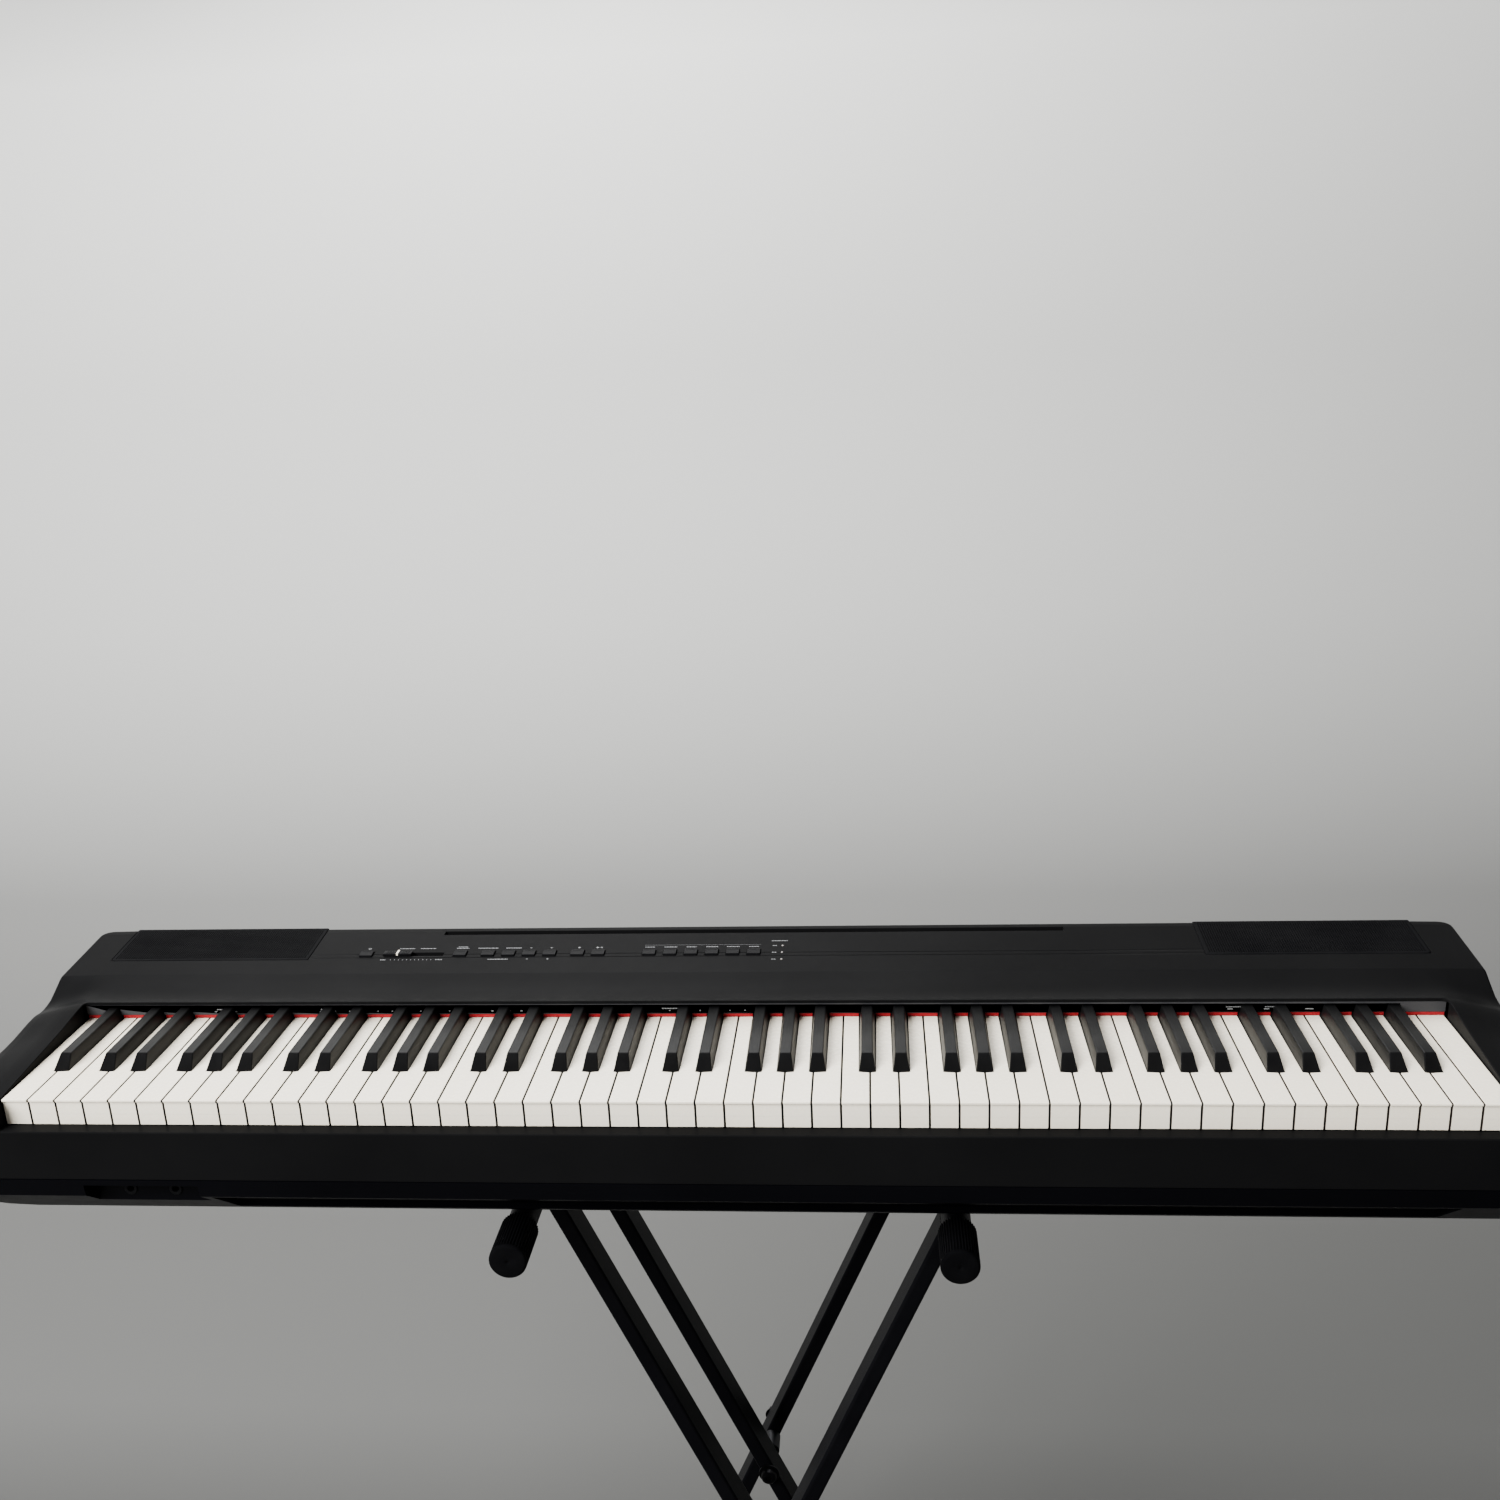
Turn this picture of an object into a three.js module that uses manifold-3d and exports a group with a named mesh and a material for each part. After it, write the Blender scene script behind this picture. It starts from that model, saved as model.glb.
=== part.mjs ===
// Digital piano with 88 keys on a double-braced folding X stand.
// Millimetres, +Z up, +X along the keyboard, the player's side towards -Y.
// The origin is on the floor, midway between the stand's feet.
import * as THREE from "three";
import { mergeVertices } from "three/addons/utils/BufferGeometryUtils.js";
import Module from "manifold-3d";

const wasm = await Module();
wasm.setup();

// ---- Driving dimensions: keyboard ----
const keyPitch = 23.5; // from one white key to the next
const keyGap = 1.0;
const whiteLength = 143; // visible length of a white key
const tailFromRear = 78; // from the back end of the keys to the back of the case
const keyFrontHeight = 24; // depth of a white key's front
const keyBodyHeight = 14; // thickness of a white key behind its front
const keyFrontThickness = 20;
const blackFront = 48; // from the white keys' front to the foot of a black key
const blackWidth = 14;
const blackTopWidth = 9.4;
const blackRise = 11.5;
const blackSlope = 14; // how far the front of a black key leans back
const blackSkirt = 12; // how far a black key reaches below the white keys' tops
const notchGap = 0.8; // between a black key and its neighbours
const bankStripDepth = 24; // bar that joins the keys of an octave at their back end
const blackBarOverlap = 4; // how far that bar reaches forward over the black keys
const bankLift = 3; // from the white keys' tops up to the black keys' joining bar

// ---- Driving dimensions: case ----
const endBlock = 52; // width of the cheek beside the keys
const caseWall = 3;
const frontLip = 12; // from the case front to the keys
const deckDepth = 139; // from the fallboard to the back of the case
const caseBottom = -133; // heights are from the white keys' tops
const partingHeight = -69;
const rearTop = 27.5;
const ridgeFromRear = 87; // from the ridge across the deck to the back of the case
const ridgeTop = 20;
const fallboardTop = 17;
const slipTop = -23.4; // ledge in front of the keys
const cornerRadius = 12; // rear corners seen from above
const undercutBack = 44; // where the flat underside starts
const cheekDrop = 7; // how far a cheek falls towards its outer side at the front
const bandHeight = 17; // upright band below the parting line
const bandLean = 2.5;
const bayWidth = 100; // headphone bay, in the undercut near the bass end
const bayFromEnd = 117;
const pocketFromEnd = 85; // the hand pocket's treble end, from the end of the case
const pocketDepth = 5;
const fitGap = 0.3;

// ---- Driving dimensions: controls and sound ----
const buttonWidth = 12.5;
const buttonDepth = 9;
const buttonPitch = 20.1;
const buttonRise = 1.6;
const rowFromRear = 52; // from the row of buttons to the back of the case
const buttonGap = 0.4;
const sliderWidth = 28;
const sliderTravel = 30;
const powerPlace = 56; // places along the row are from the inner end of the bass side's grille
const sliderPlace = 87.5;
const demoPlace = 149;
const rhythmPlace = 176.5;
const recordPlace = 264;
const voicePlace = 333.5;
const voiceCount = 6;
const restSlotLength = 610;
const restSlotDepth = 10;
const restSlotFromRear = 11.5;
const grilleWidth = 200;
const grilleDepth = 56;
const grilleFromEnd = 137; // from its middle to the end of the case
const grilleFromRear = 33;
const grilleRadius = 8;
const speakerRadius = 38;
const jackPitch = 40;
const jackRadius = 3.4;
const jackDrop = 21; // from the parting line down to the headphone sockets

// ---- Driving dimensions: stand ----
const legSpan = 188; // from the middle of the stand to each arm
const legRise = 430; // from the pivot to the arms, and down to the floor bars
const legThickness = 15;
const legDepth = 30;
const innerLegs = 53; // from the middle of the stand to the inner legs
const outerLegs = 106;
const tubeWall = 1.5;
const armRadius = 12.7;
const armLength = 370;
const floorBarLength = 430;
const gripWall = 3.25;
const gripLength = 50;
const floorCapWall = 4;
const floorCapLength = 46;
const capEnd = 3; // thickness of the closed end of a grip or a floor cap
const floorCapFlat = 1; // how much of the round cap the floor pad takes off
const boltRadius = 5;
const boltHeadRadius = 8;
const discRadius = 22;
const collarRadius = 9; // of the collar between the rear legs
const knobRadius = 18;
const knobLength = 24;
const pianoShift = -177; // the keys' front, from the middle of the stand

const whiteCount = 52;
const keyboardHalf = (whiteCount * keyPitch) / 2;
const caseHalf = keyboardHalf + endBlock;
const caseFront = -frontLip;
const caseRear = whiteLength + deckDepth;
const keyBack = caseRear - tailFromRear;
const ridgeBack = caseRear - ridgeFromRear;
const ridgeRun = ridgeBack - whiteLength;
const buttonRow = caseRear - rowFromRear;
const restSlotBack = caseRear - restSlotFromRear;
const grilleCentre = caseHalf - grilleFromEnd;
const grilleBack = caseRear - grilleFromRear;
const rowStart = grilleWidth / 2 - grilleCentre;
const sliderStart = rowStart + sliderPlace;
const gripRadius = armRadius + fitGap + gripWall;
const floorCapRadius = armRadius + fitGap + floorCapWall;
const barHeight = floorCapRadius - floorCapFlat;
const pivotHeight = barHeight + legRise;
const armHeight = pivotHeight + legRise;
const keyTopHeight = armHeight + armRadius + fitGap - caseBottom;
const legAngle = Math.atan2(legSpan, legRise);
const legReach = Math.hypot(legSpan, legRise);

// ---- Solids ----
function solidOf(geometry) {
  const bare = geometry.clone();
  bare.deleteAttribute("normal");
  bare.deleteAttribute("uv");
  const merged = mergeVertices(bare, 1e-3);
  return new wasm.Manifold(
    new wasm.Mesh({
      numProp: 3,
      vertProperties: new Float32Array(merged.attributes.position.array),
      triVerts: new Uint32Array(merged.index.array),
    }),
  );
}

function geometryOf(solid) {
  const mesh = solid.getMesh();
  const geometry = new THREE.BufferGeometry();
  const count = mesh.vertProperties.length / mesh.numProp;
  const places = new Float32Array(count * 3);
  for (let i = 0; i < count; i++) {
    places.set(mesh.vertProperties.subarray(i * mesh.numProp, i * mesh.numProp + 3), i * 3);
  }
  geometry.setAttribute("position", new THREE.BufferAttribute(places, 3));
  geometry.setIndex(new THREE.BufferAttribute(mesh.triVerts, 1));
  geometry.computeVertexNormals();
  return geometry;
}

function cut(geometry, tools) {
  const whole = solidOf(geometry);
  return geometryOf(tools.reduce((solid, tool) => solid.subtract(solidOf(tool)), whole));
}

function join([first, ...others]) {
  const whole = solidOf(first);
  return geometryOf(others.reduce((solid, other) => solid.add(solidOf(other)), whole));
}

function block(x0, x1, y0, y1, z0, z1) {
  const geometry = new THREE.BoxGeometry(x1 - x0, y1 - y0, z1 - z0);
  return geometry.translate((x0 + x1) / 2, (y0 + y1) / 2, (z0 + z1) / 2);
}

// The ring seen along the axis that its sections follow.
function flatten(ring) {
  const spread = [0, 1, 2].map((k) => {
    const values = ring.map((p) => p[k]);
    return Math.max(...values) - Math.min(...values);
  });
  const thin = spread.indexOf(Math.min(...spread));
  return ring.map((p) => new THREE.Vector2(p[(thin + 1) % 3], p[(thin + 2) % 3]));
}

// A closed skin through flat rings of equally many points, in order along +X, +Y or +Z.
function loft(rings) {
  const backwards = THREE.ShapeUtils.area(flatten(rings[0])) < 0;
  const sections = backwards ? rings.map((ring) => [...ring].reverse()) : rings;
  const size = sections[0].length;
  const places = sections.flat(2);
  const faces = [];
  sections.slice(1).forEach((_, row) => {
    for (let i = 0; i < size; i++) {
      const a = row * size + i;
      const b = row * size + ((i + 1) % size);
      faces.push(a, b, b + size, a, b + size, a + size);
    }
  });
  const last = (sections.length - 1) * size;
  const caps = [
    [flatten(sections[0]), 0, true],
    [flatten(sections[sections.length - 1]), last, false],
  ];
  caps.forEach(([ring, start, turned]) => {
    THREE.ShapeUtils.triangulateShape(ring, []).forEach(([a, b, c]) => {
      faces.push(start + a, start + (turned ? c : b), start + (turned ? b : c));
    });
  });
  const geometry = new THREE.BufferGeometry();
  geometry.setAttribute("position", new THREE.Float32BufferAttribute(places, 3));
  geometry.setIndex(faces);
  return geometry;
}

// Rings across X, each given as a list of [y, z].
const acrossX = (stations) => loft(stations.map(({ x, ring }) => ring.map(([y, z]) => [x, y, z])));

// A flat outline with optional holes, raised from z0 to z1.
function plate(outline, z0, z1, holes = [], curveSegments = 6) {
  const points = (list) => list.map(([x, y]) => new THREE.Vector2(x, y));
  const shape = Array.isArray(outline) ? new THREE.Shape(points(outline)) : outline;
  shape.holes = holes;
  const depth = z1 - z0;
  const geometry = new THREE.ExtrudeGeometry(shape, { depth, bevelEnabled: false, curveSegments });
  return geometry.translate(0, 0, z0);
}

function roundedRect(x0, x1, y0, y1, r, Kind = THREE.Shape) {
  const outline = new Kind();
  outline.moveTo(x0 + r, y0);
  outline.lineTo(x1 - r, y0);
  outline.absarc(x1 - r, y0 + r, r, -Math.PI / 2, 0);
  outline.lineTo(x1, y1 - r);
  outline.absarc(x1 - r, y1 - r, r, 0, Math.PI / 2);
  outline.lineTo(x0 + r, y1);
  outline.absarc(x0 + r, y1 - r, r, Math.PI / 2, Math.PI);
  outline.lineTo(x0, y0 + r);
  outline.absarc(x0 + r, y0 + r, r, Math.PI, 1.5 * Math.PI);
  return outline;
}

// A turned shape along +Y: its profile is pairs of radius and place along the axis, from end to end.
function turned(profile, segments = 20) {
  const points = profile.map(([r, y]) => new THREE.Vector2(r, y));
  return new THREE.LatheGeometry(points, segments);
}

function rod(radius, y0, y1, x, z, segments = 12) {
  return turned([[0, y0], [radius, y0], [radius, y1], [0, y1]], segments).translate(x, 0, z);
}

// ---- Materials ----
function finish(color, roughness, metalness = 0) {
  return new THREE.MeshStandardMaterial({ color, roughness, metalness });
}

const finishes = {
  caseTop: () => finish(0x323335, 0.62),
  caseBase: () => finish(0x1c1d20, 0.66),
  ivory: () => finish(0xece9e1, 0.3),
  ebony: () => finish(0x2a2b2d, 0.5),
  felt: () => finish(0x8f1418, 0.95),
  mesh: () => finish(0x1b1b1c, 0.5, 0.3),
  trim: () => finish(0x151517, 0.55),
  board: () => finish(0x1f4a2c, 0.5),
  paint: () => finish(0x161618, 0.42, 0.2),
  rubber: () => finish(0x1a1a1c, 0.85),
  steel: () => finish(0x8b8d90, 0.35, 0.9),
};

function node(name, geometry, material) {
  const mesh = new THREE.Mesh(geometry, material());
  mesh.name = name;
  return mesh;
}

// ---- Case ----
// The top edge of the case from front to back, along a cheek's inner side, with its fall to the outer side.
const topEdge = [
  { y: caseFront, z: -5, fall: cheekDrop },
  { y: caseFront + 5, z: 0, fall: cheekDrop - 1 },
  { y: whiteLength * 0.33, z: 6, fall: cheekDrop + 2 },
  { y: whiteLength * 0.7, z: 11.5, fall: cheekDrop + 6 },
  { y: whiteLength, z: fallboardTop, fall: cheekDrop + 6.5 },
  { y: whiteLength + ridgeRun * 0.42, z: fallboardTop - 0.6, fall: cheekDrop + 3.5 },
  { y: whiteLength + ridgeRun * 0.77, z: ridgeTop - 1.8, fall: 4.5 },
  { y: ridgeBack, z: ridgeTop, fall: 1 },
  { y: caseRear - 7, z: rearTop, fall: 1 },
  { y: caseRear - 2, z: rearTop - 1.6, fall: 1 },
  { y: caseRear, z: rearTop - 6, fall: 1 },
];
const innerTop = topEdge.map(({ y, z }) => [y, z]);
const outerTop = topEdge.map(({ y, z, fall }) => [y, z - fall]);

const closedBelow = (top, z) => [[caseFront, z], ...top, [caseRear, z]];
const deckSlope = (rearTop - ridgeTop) / (caseRear - 7 - ridgeBack);
const deckAt = (y) => ridgeTop + (y - ridgeBack) * deckSlope;

function caseSkin() {
  const outer = closedBelow(outerTop, partingHeight);
  const inner = closedBelow(innerTop, partingHeight);
  return acrossX([
    { x: -caseHalf, ring: outer },
    { x: -keyboardHalf, ring: inner },
    { x: keyboardHalf, ring: inner },
    { x: caseHalf, ring: outer },
  ]);
}

function caseHollow() {
  const inset = (top) => {
    const limit = (y) => Math.min(Math.max(y, caseFront + caseWall), caseRear - caseWall);
    const ring = closedBelow(top, partingHeight - 5);
    return ring.map(([y, z]) => [limit(y), z < partingHeight ? z : z - caseWall]);
  };
  const hollow = acrossX([
    { x: -caseHalf + caseWall, ring: inset(outerTop) },
    { x: -keyboardHalf, ring: inset(innerTop) },
    { x: keyboardHalf, ring: inset(innerTop) },
    { x: caseHalf - caseWall, ring: inset(outerTop) },
  ]);
  return cut(hollow, [cornerTool(-1, caseWall), cornerTool(1, caseWall)]);
}

// The tool that rounds a rear corner seen from above, on the skin or, with an inset, on the hollow.
function cornerTool(side, inset = 0) {
  const shape = new THREE.Shape();
  const x = caseHalf;
  const radius = cornerRadius - inset;
  const reach = 10;
  shape.moveTo(x - cornerRadius, caseRear - inset);
  shape.absarc(x - cornerRadius, caseRear - cornerRadius, radius, Math.PI / 2, 0, true);
  shape.lineTo(x + reach, caseRear - cornerRadius);
  shape.lineTo(x + reach, caseRear + reach);
  shape.lineTo(x - cornerRadius, caseRear + reach);
  const tool = plate(shape, caseBottom - reach, rearTop + reach);
  return side > 0 ? tool : tool.rotateY(Math.PI).translate(0, 0, rearTop + caseBottom);
}

// The outline of a speaker grille, larger all round by grow, raised from z0 to z1.
function grilleHole(side, grow, z0, z1) {
  const halfX = grilleWidth / 2 + grow;
  const halfY = grilleDepth / 2 + grow;
  const outline = roundedRect(-halfX, halfX, -halfY, halfY, grilleRadius + grow);
  return plate(outline, z0, z1).translate(side * grilleCentre, grilleBack, 0);
}

// Every button's name and place along the row.
const buttonPlaces = [
  ["power_button", rowStart + powerPlace],
  ["demo_button", rowStart + demoPlace],
  ["metronome_button", rowStart + rhythmPlace],
  ["rhythm_button", rowStart + rhythmPlace + buttonPitch],
  ["tempo_down_button", rowStart + rhythmPlace + 2 * buttonPitch],
  ["tempo_up_button", rowStart + rhythmPlace + 3 * buttonPitch],
  ["record_button", rowStart + recordPlace],
  ["play_button", rowStart + recordPlace + buttonPitch],
];
for (let i = 0; i < voiceCount; i++) {
  buttonPlaces.push(["voice_button_" + (i + 1), rowStart + voicePlace + i * buttonPitch]);
}

const sliderSlot = {
  x0: sliderStart - sliderWidth / 2 - 1,
  x1: sliderStart + sliderWidth / 2 + sliderTravel + 1,
  half: 4,
};

function upperCase() {
  const above = rearTop + 20;
  const below = partingHeight - 6;
  const walls = [-1, 1].map((side) => {
    const x0 = side * (keyboardHalf + (side > 0 ? 0 : caseWall));
    const ring = closedBelow(innerTop.slice(0, 5), partingHeight).slice(0, -1);
    ring.push([whiteLength, partingHeight]);
    const lowered = ring.map(([y, z]) => [Math.max(y, caseFront + 1), z > partingHeight ? z - 1.5 : z]);
    return acrossX([x0, x0 + caseWall].map((x) => ({ x, ring: lowered })));
  });
  const ledge = block(-keyboardHalf - 1, keyboardHalf + 1, caseFront + 1, -1, slipTop - 3, slipTop);
  const shell = join([cut(caseSkin(), [caseHollow()]), ...walls, ledge]);
  const buttonHoles = buttonPlaces.map(([, x]) => {
    const halfX = buttonWidth / 2 + buttonGap;
    const halfY = buttonDepth / 2 + buttonGap;
    return block(x - halfX, x + halfX, buttonRow - halfY, buttonRow + halfY, 0, above);
  });
  const { x0, x1, half } = sliderSlot;
  return cut(shell, [
    block(-keyboardHalf, keyboardHalf, -1, whiteLength, below, above),
    block(-keyboardHalf, keyboardHalf, caseFront - 5, 0, slipTop, above),
    cornerTool(-1),
    cornerTool(1),
    grilleHole(-1, fitGap, 5, above),
    grilleHole(1, fitGap, 5, above),
    block(
      -restSlotLength / 2,
      restSlotLength / 2,
      restSlotBack - restSlotDepth / 2,
      restSlotBack + restSlotDepth / 2,
      5,
      above,
    ),
    block(x0, x1, buttonRow - half, buttonRow + half, 0, above),
    ...buttonHoles,
  ]);
}

// The front of the base leans in a little from the parting line, then runs back and down to the underside.
const undercutTop = [caseFront + bandLean, partingHeight - bandHeight];
const undercutRun = undercutBack - undercutTop[0];
const undercutFall = undercutTop[1] - caseBottom;
const undercutLength = Math.hypot(undercutRun, undercutFall);

// A point on the undercut, a distance along it from its top edge and a depth into the case.
function undercutPoint(along, depth) {
  const [dy, dz] = [undercutRun / undercutLength, -undercutFall / undercutLength];
  return [undercutTop[0] + along * dy - depth * dz, undercutTop[1] + along * dz + depth * dy];
}

// The outline of the base's side, with its underside lifted and its skin moved in by a wall.
function baseRing(lift, inset) {
  const bottom = caseBottom + lift;
  const along = ((undercutFall - lift) / undercutFall) * undercutLength;
  const low = undercutPoint(along, 0);
  const high = partingHeight - fitGap + (inset ? 5 : 0);
  const cornerRise = 14;
  return [
    [caseFront + inset, high],
    [caseRear - inset, high],
    [caseRear - inset, bottom + cornerRise + inset * 0.4],
    [caseRear - 4 - inset * 0.7, bottom + 4 + inset * 0.7],
    [caseRear - cornerRise - inset * 0.4, bottom + inset],
    [low[0] + inset * 0.4, bottom + inset],
    [undercutTop[0] + inset, undercutTop[1] + inset * 0.5],
  ];
}

const bayStart = -caseHalf + bayFromEnd;
const headphoneBay = {
  x0: bayStart,
  x1: bayStart + bayWidth,
  back: 8,
  bottom: partingHeight - 38,
};
const handPocket = {
  x0: headphoneBay.x1 + 8,
  x1: caseHalf - pocketFromEnd,
  from: 4,
  margin: 8,
};
const rearBay = {
  x0: 80,
  x1: 210,
  z0: caseBottom + 25,
  z1: caseBottom + 49,
};

function headphoneSockets() {
  const { x0, x1, back } = headphoneBay;
  return [-1, 1].map((side) =>
    rod(
      jackRadius,
      back - 5,
      back + caseWall + 5,
      (x0 + x1 + side * jackPitch) / 2,
      partingHeight - jackDrop,
    ),
  );
}

// The hollow under the front edge that a hand fits in, and the backing behind it.
function pocketRing(inset) {
  const { from, margin } = handPocket;
  const first = from - inset;
  const last = undercutLength - margin + inset;
  const outside = inset ? 1 : -9;
  return [
    undercutPoint(first, outside),
    undercutPoint(first, pocketDepth + inset),
    undercutPoint(last, pocketDepth + inset),
    undercutPoint(last, outside),
  ];
}

function lowerCase() {
  const places = (inset) => [
    [-caseHalf + inset, 24],
    [-caseHalf + 12, 6],
    [-caseHalf + 34, 0],
    [caseHalf - 34, 0],
    [caseHalf - 12, 6],
    [caseHalf - inset, 24],
  ];
  const stations = (inset) => places(inset).map(([x, lift]) => ({ x, ring: baseRing(lift, inset) }));
  const skin = acrossX(stations(0));
  const hollow = cut(acrossX(stations(caseWall)), [cornerTool(-1, caseWall), cornerTool(1, caseWall)]);
  const bay = headphoneBay;
  const bayBlock = block(
    bay.x0 - caseWall,
    bay.x1 + caseWall,
    caseFront + 1,
    bay.back + caseWall,
    bay.bottom,
    partingHeight - caseWall,
  );
  const bayWalls = geometryOf(solidOf(bayBlock).intersect(solidOf(skin)));
  const { x0, x1 } = handPocket;
  const pocketAcross = (inset) => {
    const ring = pocketRing(inset);
    return acrossX([x0 - inset, x1 + inset].map((x) => ({ x, ring })));
  };
  const pocketWalls = pocketAcross(caseWall);
  const pocket = pocketAcross(0);
  return cut(join([cut(skin, [hollow]), bayWalls, pocketWalls]), [
    block(bay.x0, bay.x1, caseFront - 5, bay.back, caseBottom, partingHeight - 2 * caseWall),
    pocket,
    ...headphoneSockets(),
    block(rearBay.x0, rearBay.x1, caseRear - 6, caseRear + 5, rearBay.z0, rearBay.z1),
    cornerTool(-1),
    cornerTool(1),
  ]);
}

// ---- Keys ----
// How far each black key sits from the line between its white neighbours: A, C, D, F and G sharp.
const blackShifts = { 0: 3.4, 2: -2.3, 3: 2.3, 5: -3.2, 6: 0 };

// The white keys are counted up from A. Boundary b is the line between white key b - 1 and white key b.
const boundaryX = (b) => -keyboardHalf + b * keyPitch;

function blackAt(b) {
  const step = (b + 6) % 7;
  const inside = b >= 1 && b <= whiteCount - 2;
  return inside && step in blackShifts ? boundaryX(b) + blackShifts[step] : null;
}

function whiteBank(first, last) {
  const outline = [];
  const bar = keyBack - bankStripDepth;
  const half = blackWidth / 2 + notchGap;
  for (let k = first; k <= last; k++) {
    const left = boundaryX(k) + keyGap / 2;
    const right = boundaryX(k + 1) - keyGap / 2;
    const blackLeft = blackAt(k);
    const blackRight = blackAt(k + 1);
    const tailLeft = blackLeft === null ? left : blackLeft + half;
    const tailRight = blackRight === null ? right : blackRight - half;
    const shoulder = blackFront - notchGap;
    if (k > first) outline.push([tailLeft, bar]);
    if (blackLeft !== null) outline.push([tailLeft, shoulder], [left, shoulder]);
    outline.push([left, 0], [right, 0]);
    if (blackRight !== null) outline.push([right, shoulder], [tailRight, shoulder]);
    if (k < last) outline.push([tailRight, bar]);
    else outline.push([tailRight, keyBack]);
    if (k === first) outline.unshift([tailLeft, keyBack]);
  }
  const comb = plate(outline, -keyFrontHeight, 0);
  const reach = keyboardHalf + 5;
  const low = -keyFrontHeight - 5;
  const underside = block(-reach, reach, keyFrontThickness, keyBack + 5, low, -keyBodyHeight);
  return cut(comb, [underside]);
}

function blackKey(x) {
  const half = blackWidth / 2;
  const top = blackTopWidth / 2;
  const ring = (y, rise) =>
    [
      [-half, -blackSkirt],
      [half, -blackSkirt],
      [half, 0],
      [top, rise],
      [-top, rise],
      [-half, 0],
    ].map(([dx, z]) => [x + dx, y, z]);
  const end = keyBack - bankStripDepth - 1;
  return loft([ring(blackFront, 0.6), ring(blackFront + blackSlope, blackRise), ring(end, blackRise)]);
}

function blackBank(first, last) {
  const places = [];
  for (let b = Math.max(first, 1); b <= last; b++) {
    if (blackAt(b) !== null) places.push(blackAt(b));
  }
  const half = blackWidth / 2;
  const barFront = keyBack - bankStripDepth - blackBarOverlap;
  const barTop = blackRise - 1.5;
  const bar = block(places[0] - half, places.at(-1) + half, barFront, keyBack, bankLift, barTop);
  return join([bar, ...places.map(blackKey)]);
}

// The white keys of each bank. The lowest also has two keys below its octave, the highest one above.
const banks = [0, 1, 2, 3, 4, 5, 6].map((i) => ({
  name: i + 1,
  first: i === 0 ? 0 : 2 + 7 * i,
  last: i === 6 ? whiteCount - 1 : 8 + 7 * i,
}));

// A strip behind the keys, notched where each black key passes under it.
function notchedStrip(y0, y1, z0, z1) {
  const half = blackWidth / 2 + notchGap + 0.4;
  const roof = blackRise + 1.2;
  const end = keyboardHalf - fitGap;
  const outline = [[-end, z1], [-end, z0]];
  for (let b = 1; b < whiteCount; b++) {
    const x = blackAt(b);
    if (x === null) continue;
    outline.push([x - half, z0], [x - half, roof], [x + half, roof], [x + half, z0]);
  }
  outline.push([end, z0], [end, z1]);
  return plate(outline, -y1, -y0).rotateX(Math.PI / 2);
}

// ---- Controls ----
function button(x) {
  const deck = deckAt(buttonRow);
  const ring = (halfX, halfY, z) =>
    [
      [-halfX, -halfY],
      [halfX, -halfY],
      [halfX, halfY],
      [-halfX, halfY],
    ].map(([dx, dy]) => [x + dx, buttonRow + dy, z]);
  const wide = [buttonWidth / 2 + 1.5, buttonDepth / 2 + 1.5];
  const neck = [buttonWidth / 2, buttonDepth / 2];
  const flange = deck - caseWall - 2.2;
  return loft([
    ring(...wide, flange - 1.5),
    ring(...wide, flange),
    ring(...neck, flange),
    ring(...neck, deck + buttonRise - 0.5),
    ring(neck[0] - 0.6, neck[1] - 0.6, deck + buttonRise),
  ]);
}

function volumeSlider() {
  const deck = deckAt(buttonRow);
  const half = sliderSlot.half - buttonGap;
  const low = deck - caseWall - 2.2;
  const cap = block(-sliderWidth / 2, sliderWidth / 2, -half, half, low, deck + 2.2);
  const foot = block(-sliderWidth / 2 - 2, sliderWidth / 2 + 2, -half - 2, half + 2, low - 2, low);
  return join([cap, foot]).translate(sliderStart, buttonRow, 0);
}

function grille(side) {
  const sheet = grilleHole(side, 0, 0, 1.2);
  const tilt = Math.atan(deckSlope);
  const lift = deckAt(grilleBack) - 1.6;
  return sheet.translate(0, -grilleBack, 0).rotateX(tilt).translate(0, grilleBack, lift);
}

function speaker(side) {
  const rim = deckAt(grilleBack) - 8;
  const magnetRadius = 17;
  const profile = [
    [0, -34],
    [magnetRadius, -34],
    [magnetRadius, -22],
    [magnetRadius + 3, -20],
    [speakerRadius - 4, -3],
    [speakerRadius, -3],
    [speakerRadius, 0],
    [speakerRadius - 4, 0],
    [15, -12],
    [9, -9],
    [0, -7],
  ];
  return turned(profile).rotateX(Math.PI / 2).translate(side * grilleCentre, grilleBack - 9, rim);
}

function keyFrame() {
  const half = keyboardHalf - 6;
  const floor = -keyFrontHeight - 17;
  return join([
    block(-half, half, 4, keyBack + 10, floor, floor + 3),
    block(-half, half, keyBack + 2, keyBack + 10, floor + 1, -2),
  ]);
}

function mainBoard() {
  const standOff = 12;
  const thickness = 1.6;
  const low = caseBottom + standOff;
  return block(60, 240, caseRear - 67, caseRear - 12, low, low + thickness);
}

function jackPanel() {
  const y = caseRear - caseWall - fitGap;
  const { x0, x1, z0, z1 } = rearBay;
  const z = (z0 + z1) / 2;
  const sheet = block(x0 - 6, x1 + 6, y - 3, y, z0 - 5, z1 + 5);
  return cut(sheet, [
    rod(jackRadius, y - 8, y + 5, x0 + 22, z),
    rod(jackRadius, y - 8, y + 5, x0 + 58, z),
    block(x0 + 88, x0 + 101, y - 8, y + 5, z - 5.5, z + 5.5),
  ]);
}

// ---- Stand ----
function hollowRod(radius, length) {
  const r = radius - tubeWall;
  const half = length / 2;
  const profile = [[r, -half], [radius, -half], [radius, half], [r, half], [r, -half]];
  return turned(profile);
}

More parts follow.
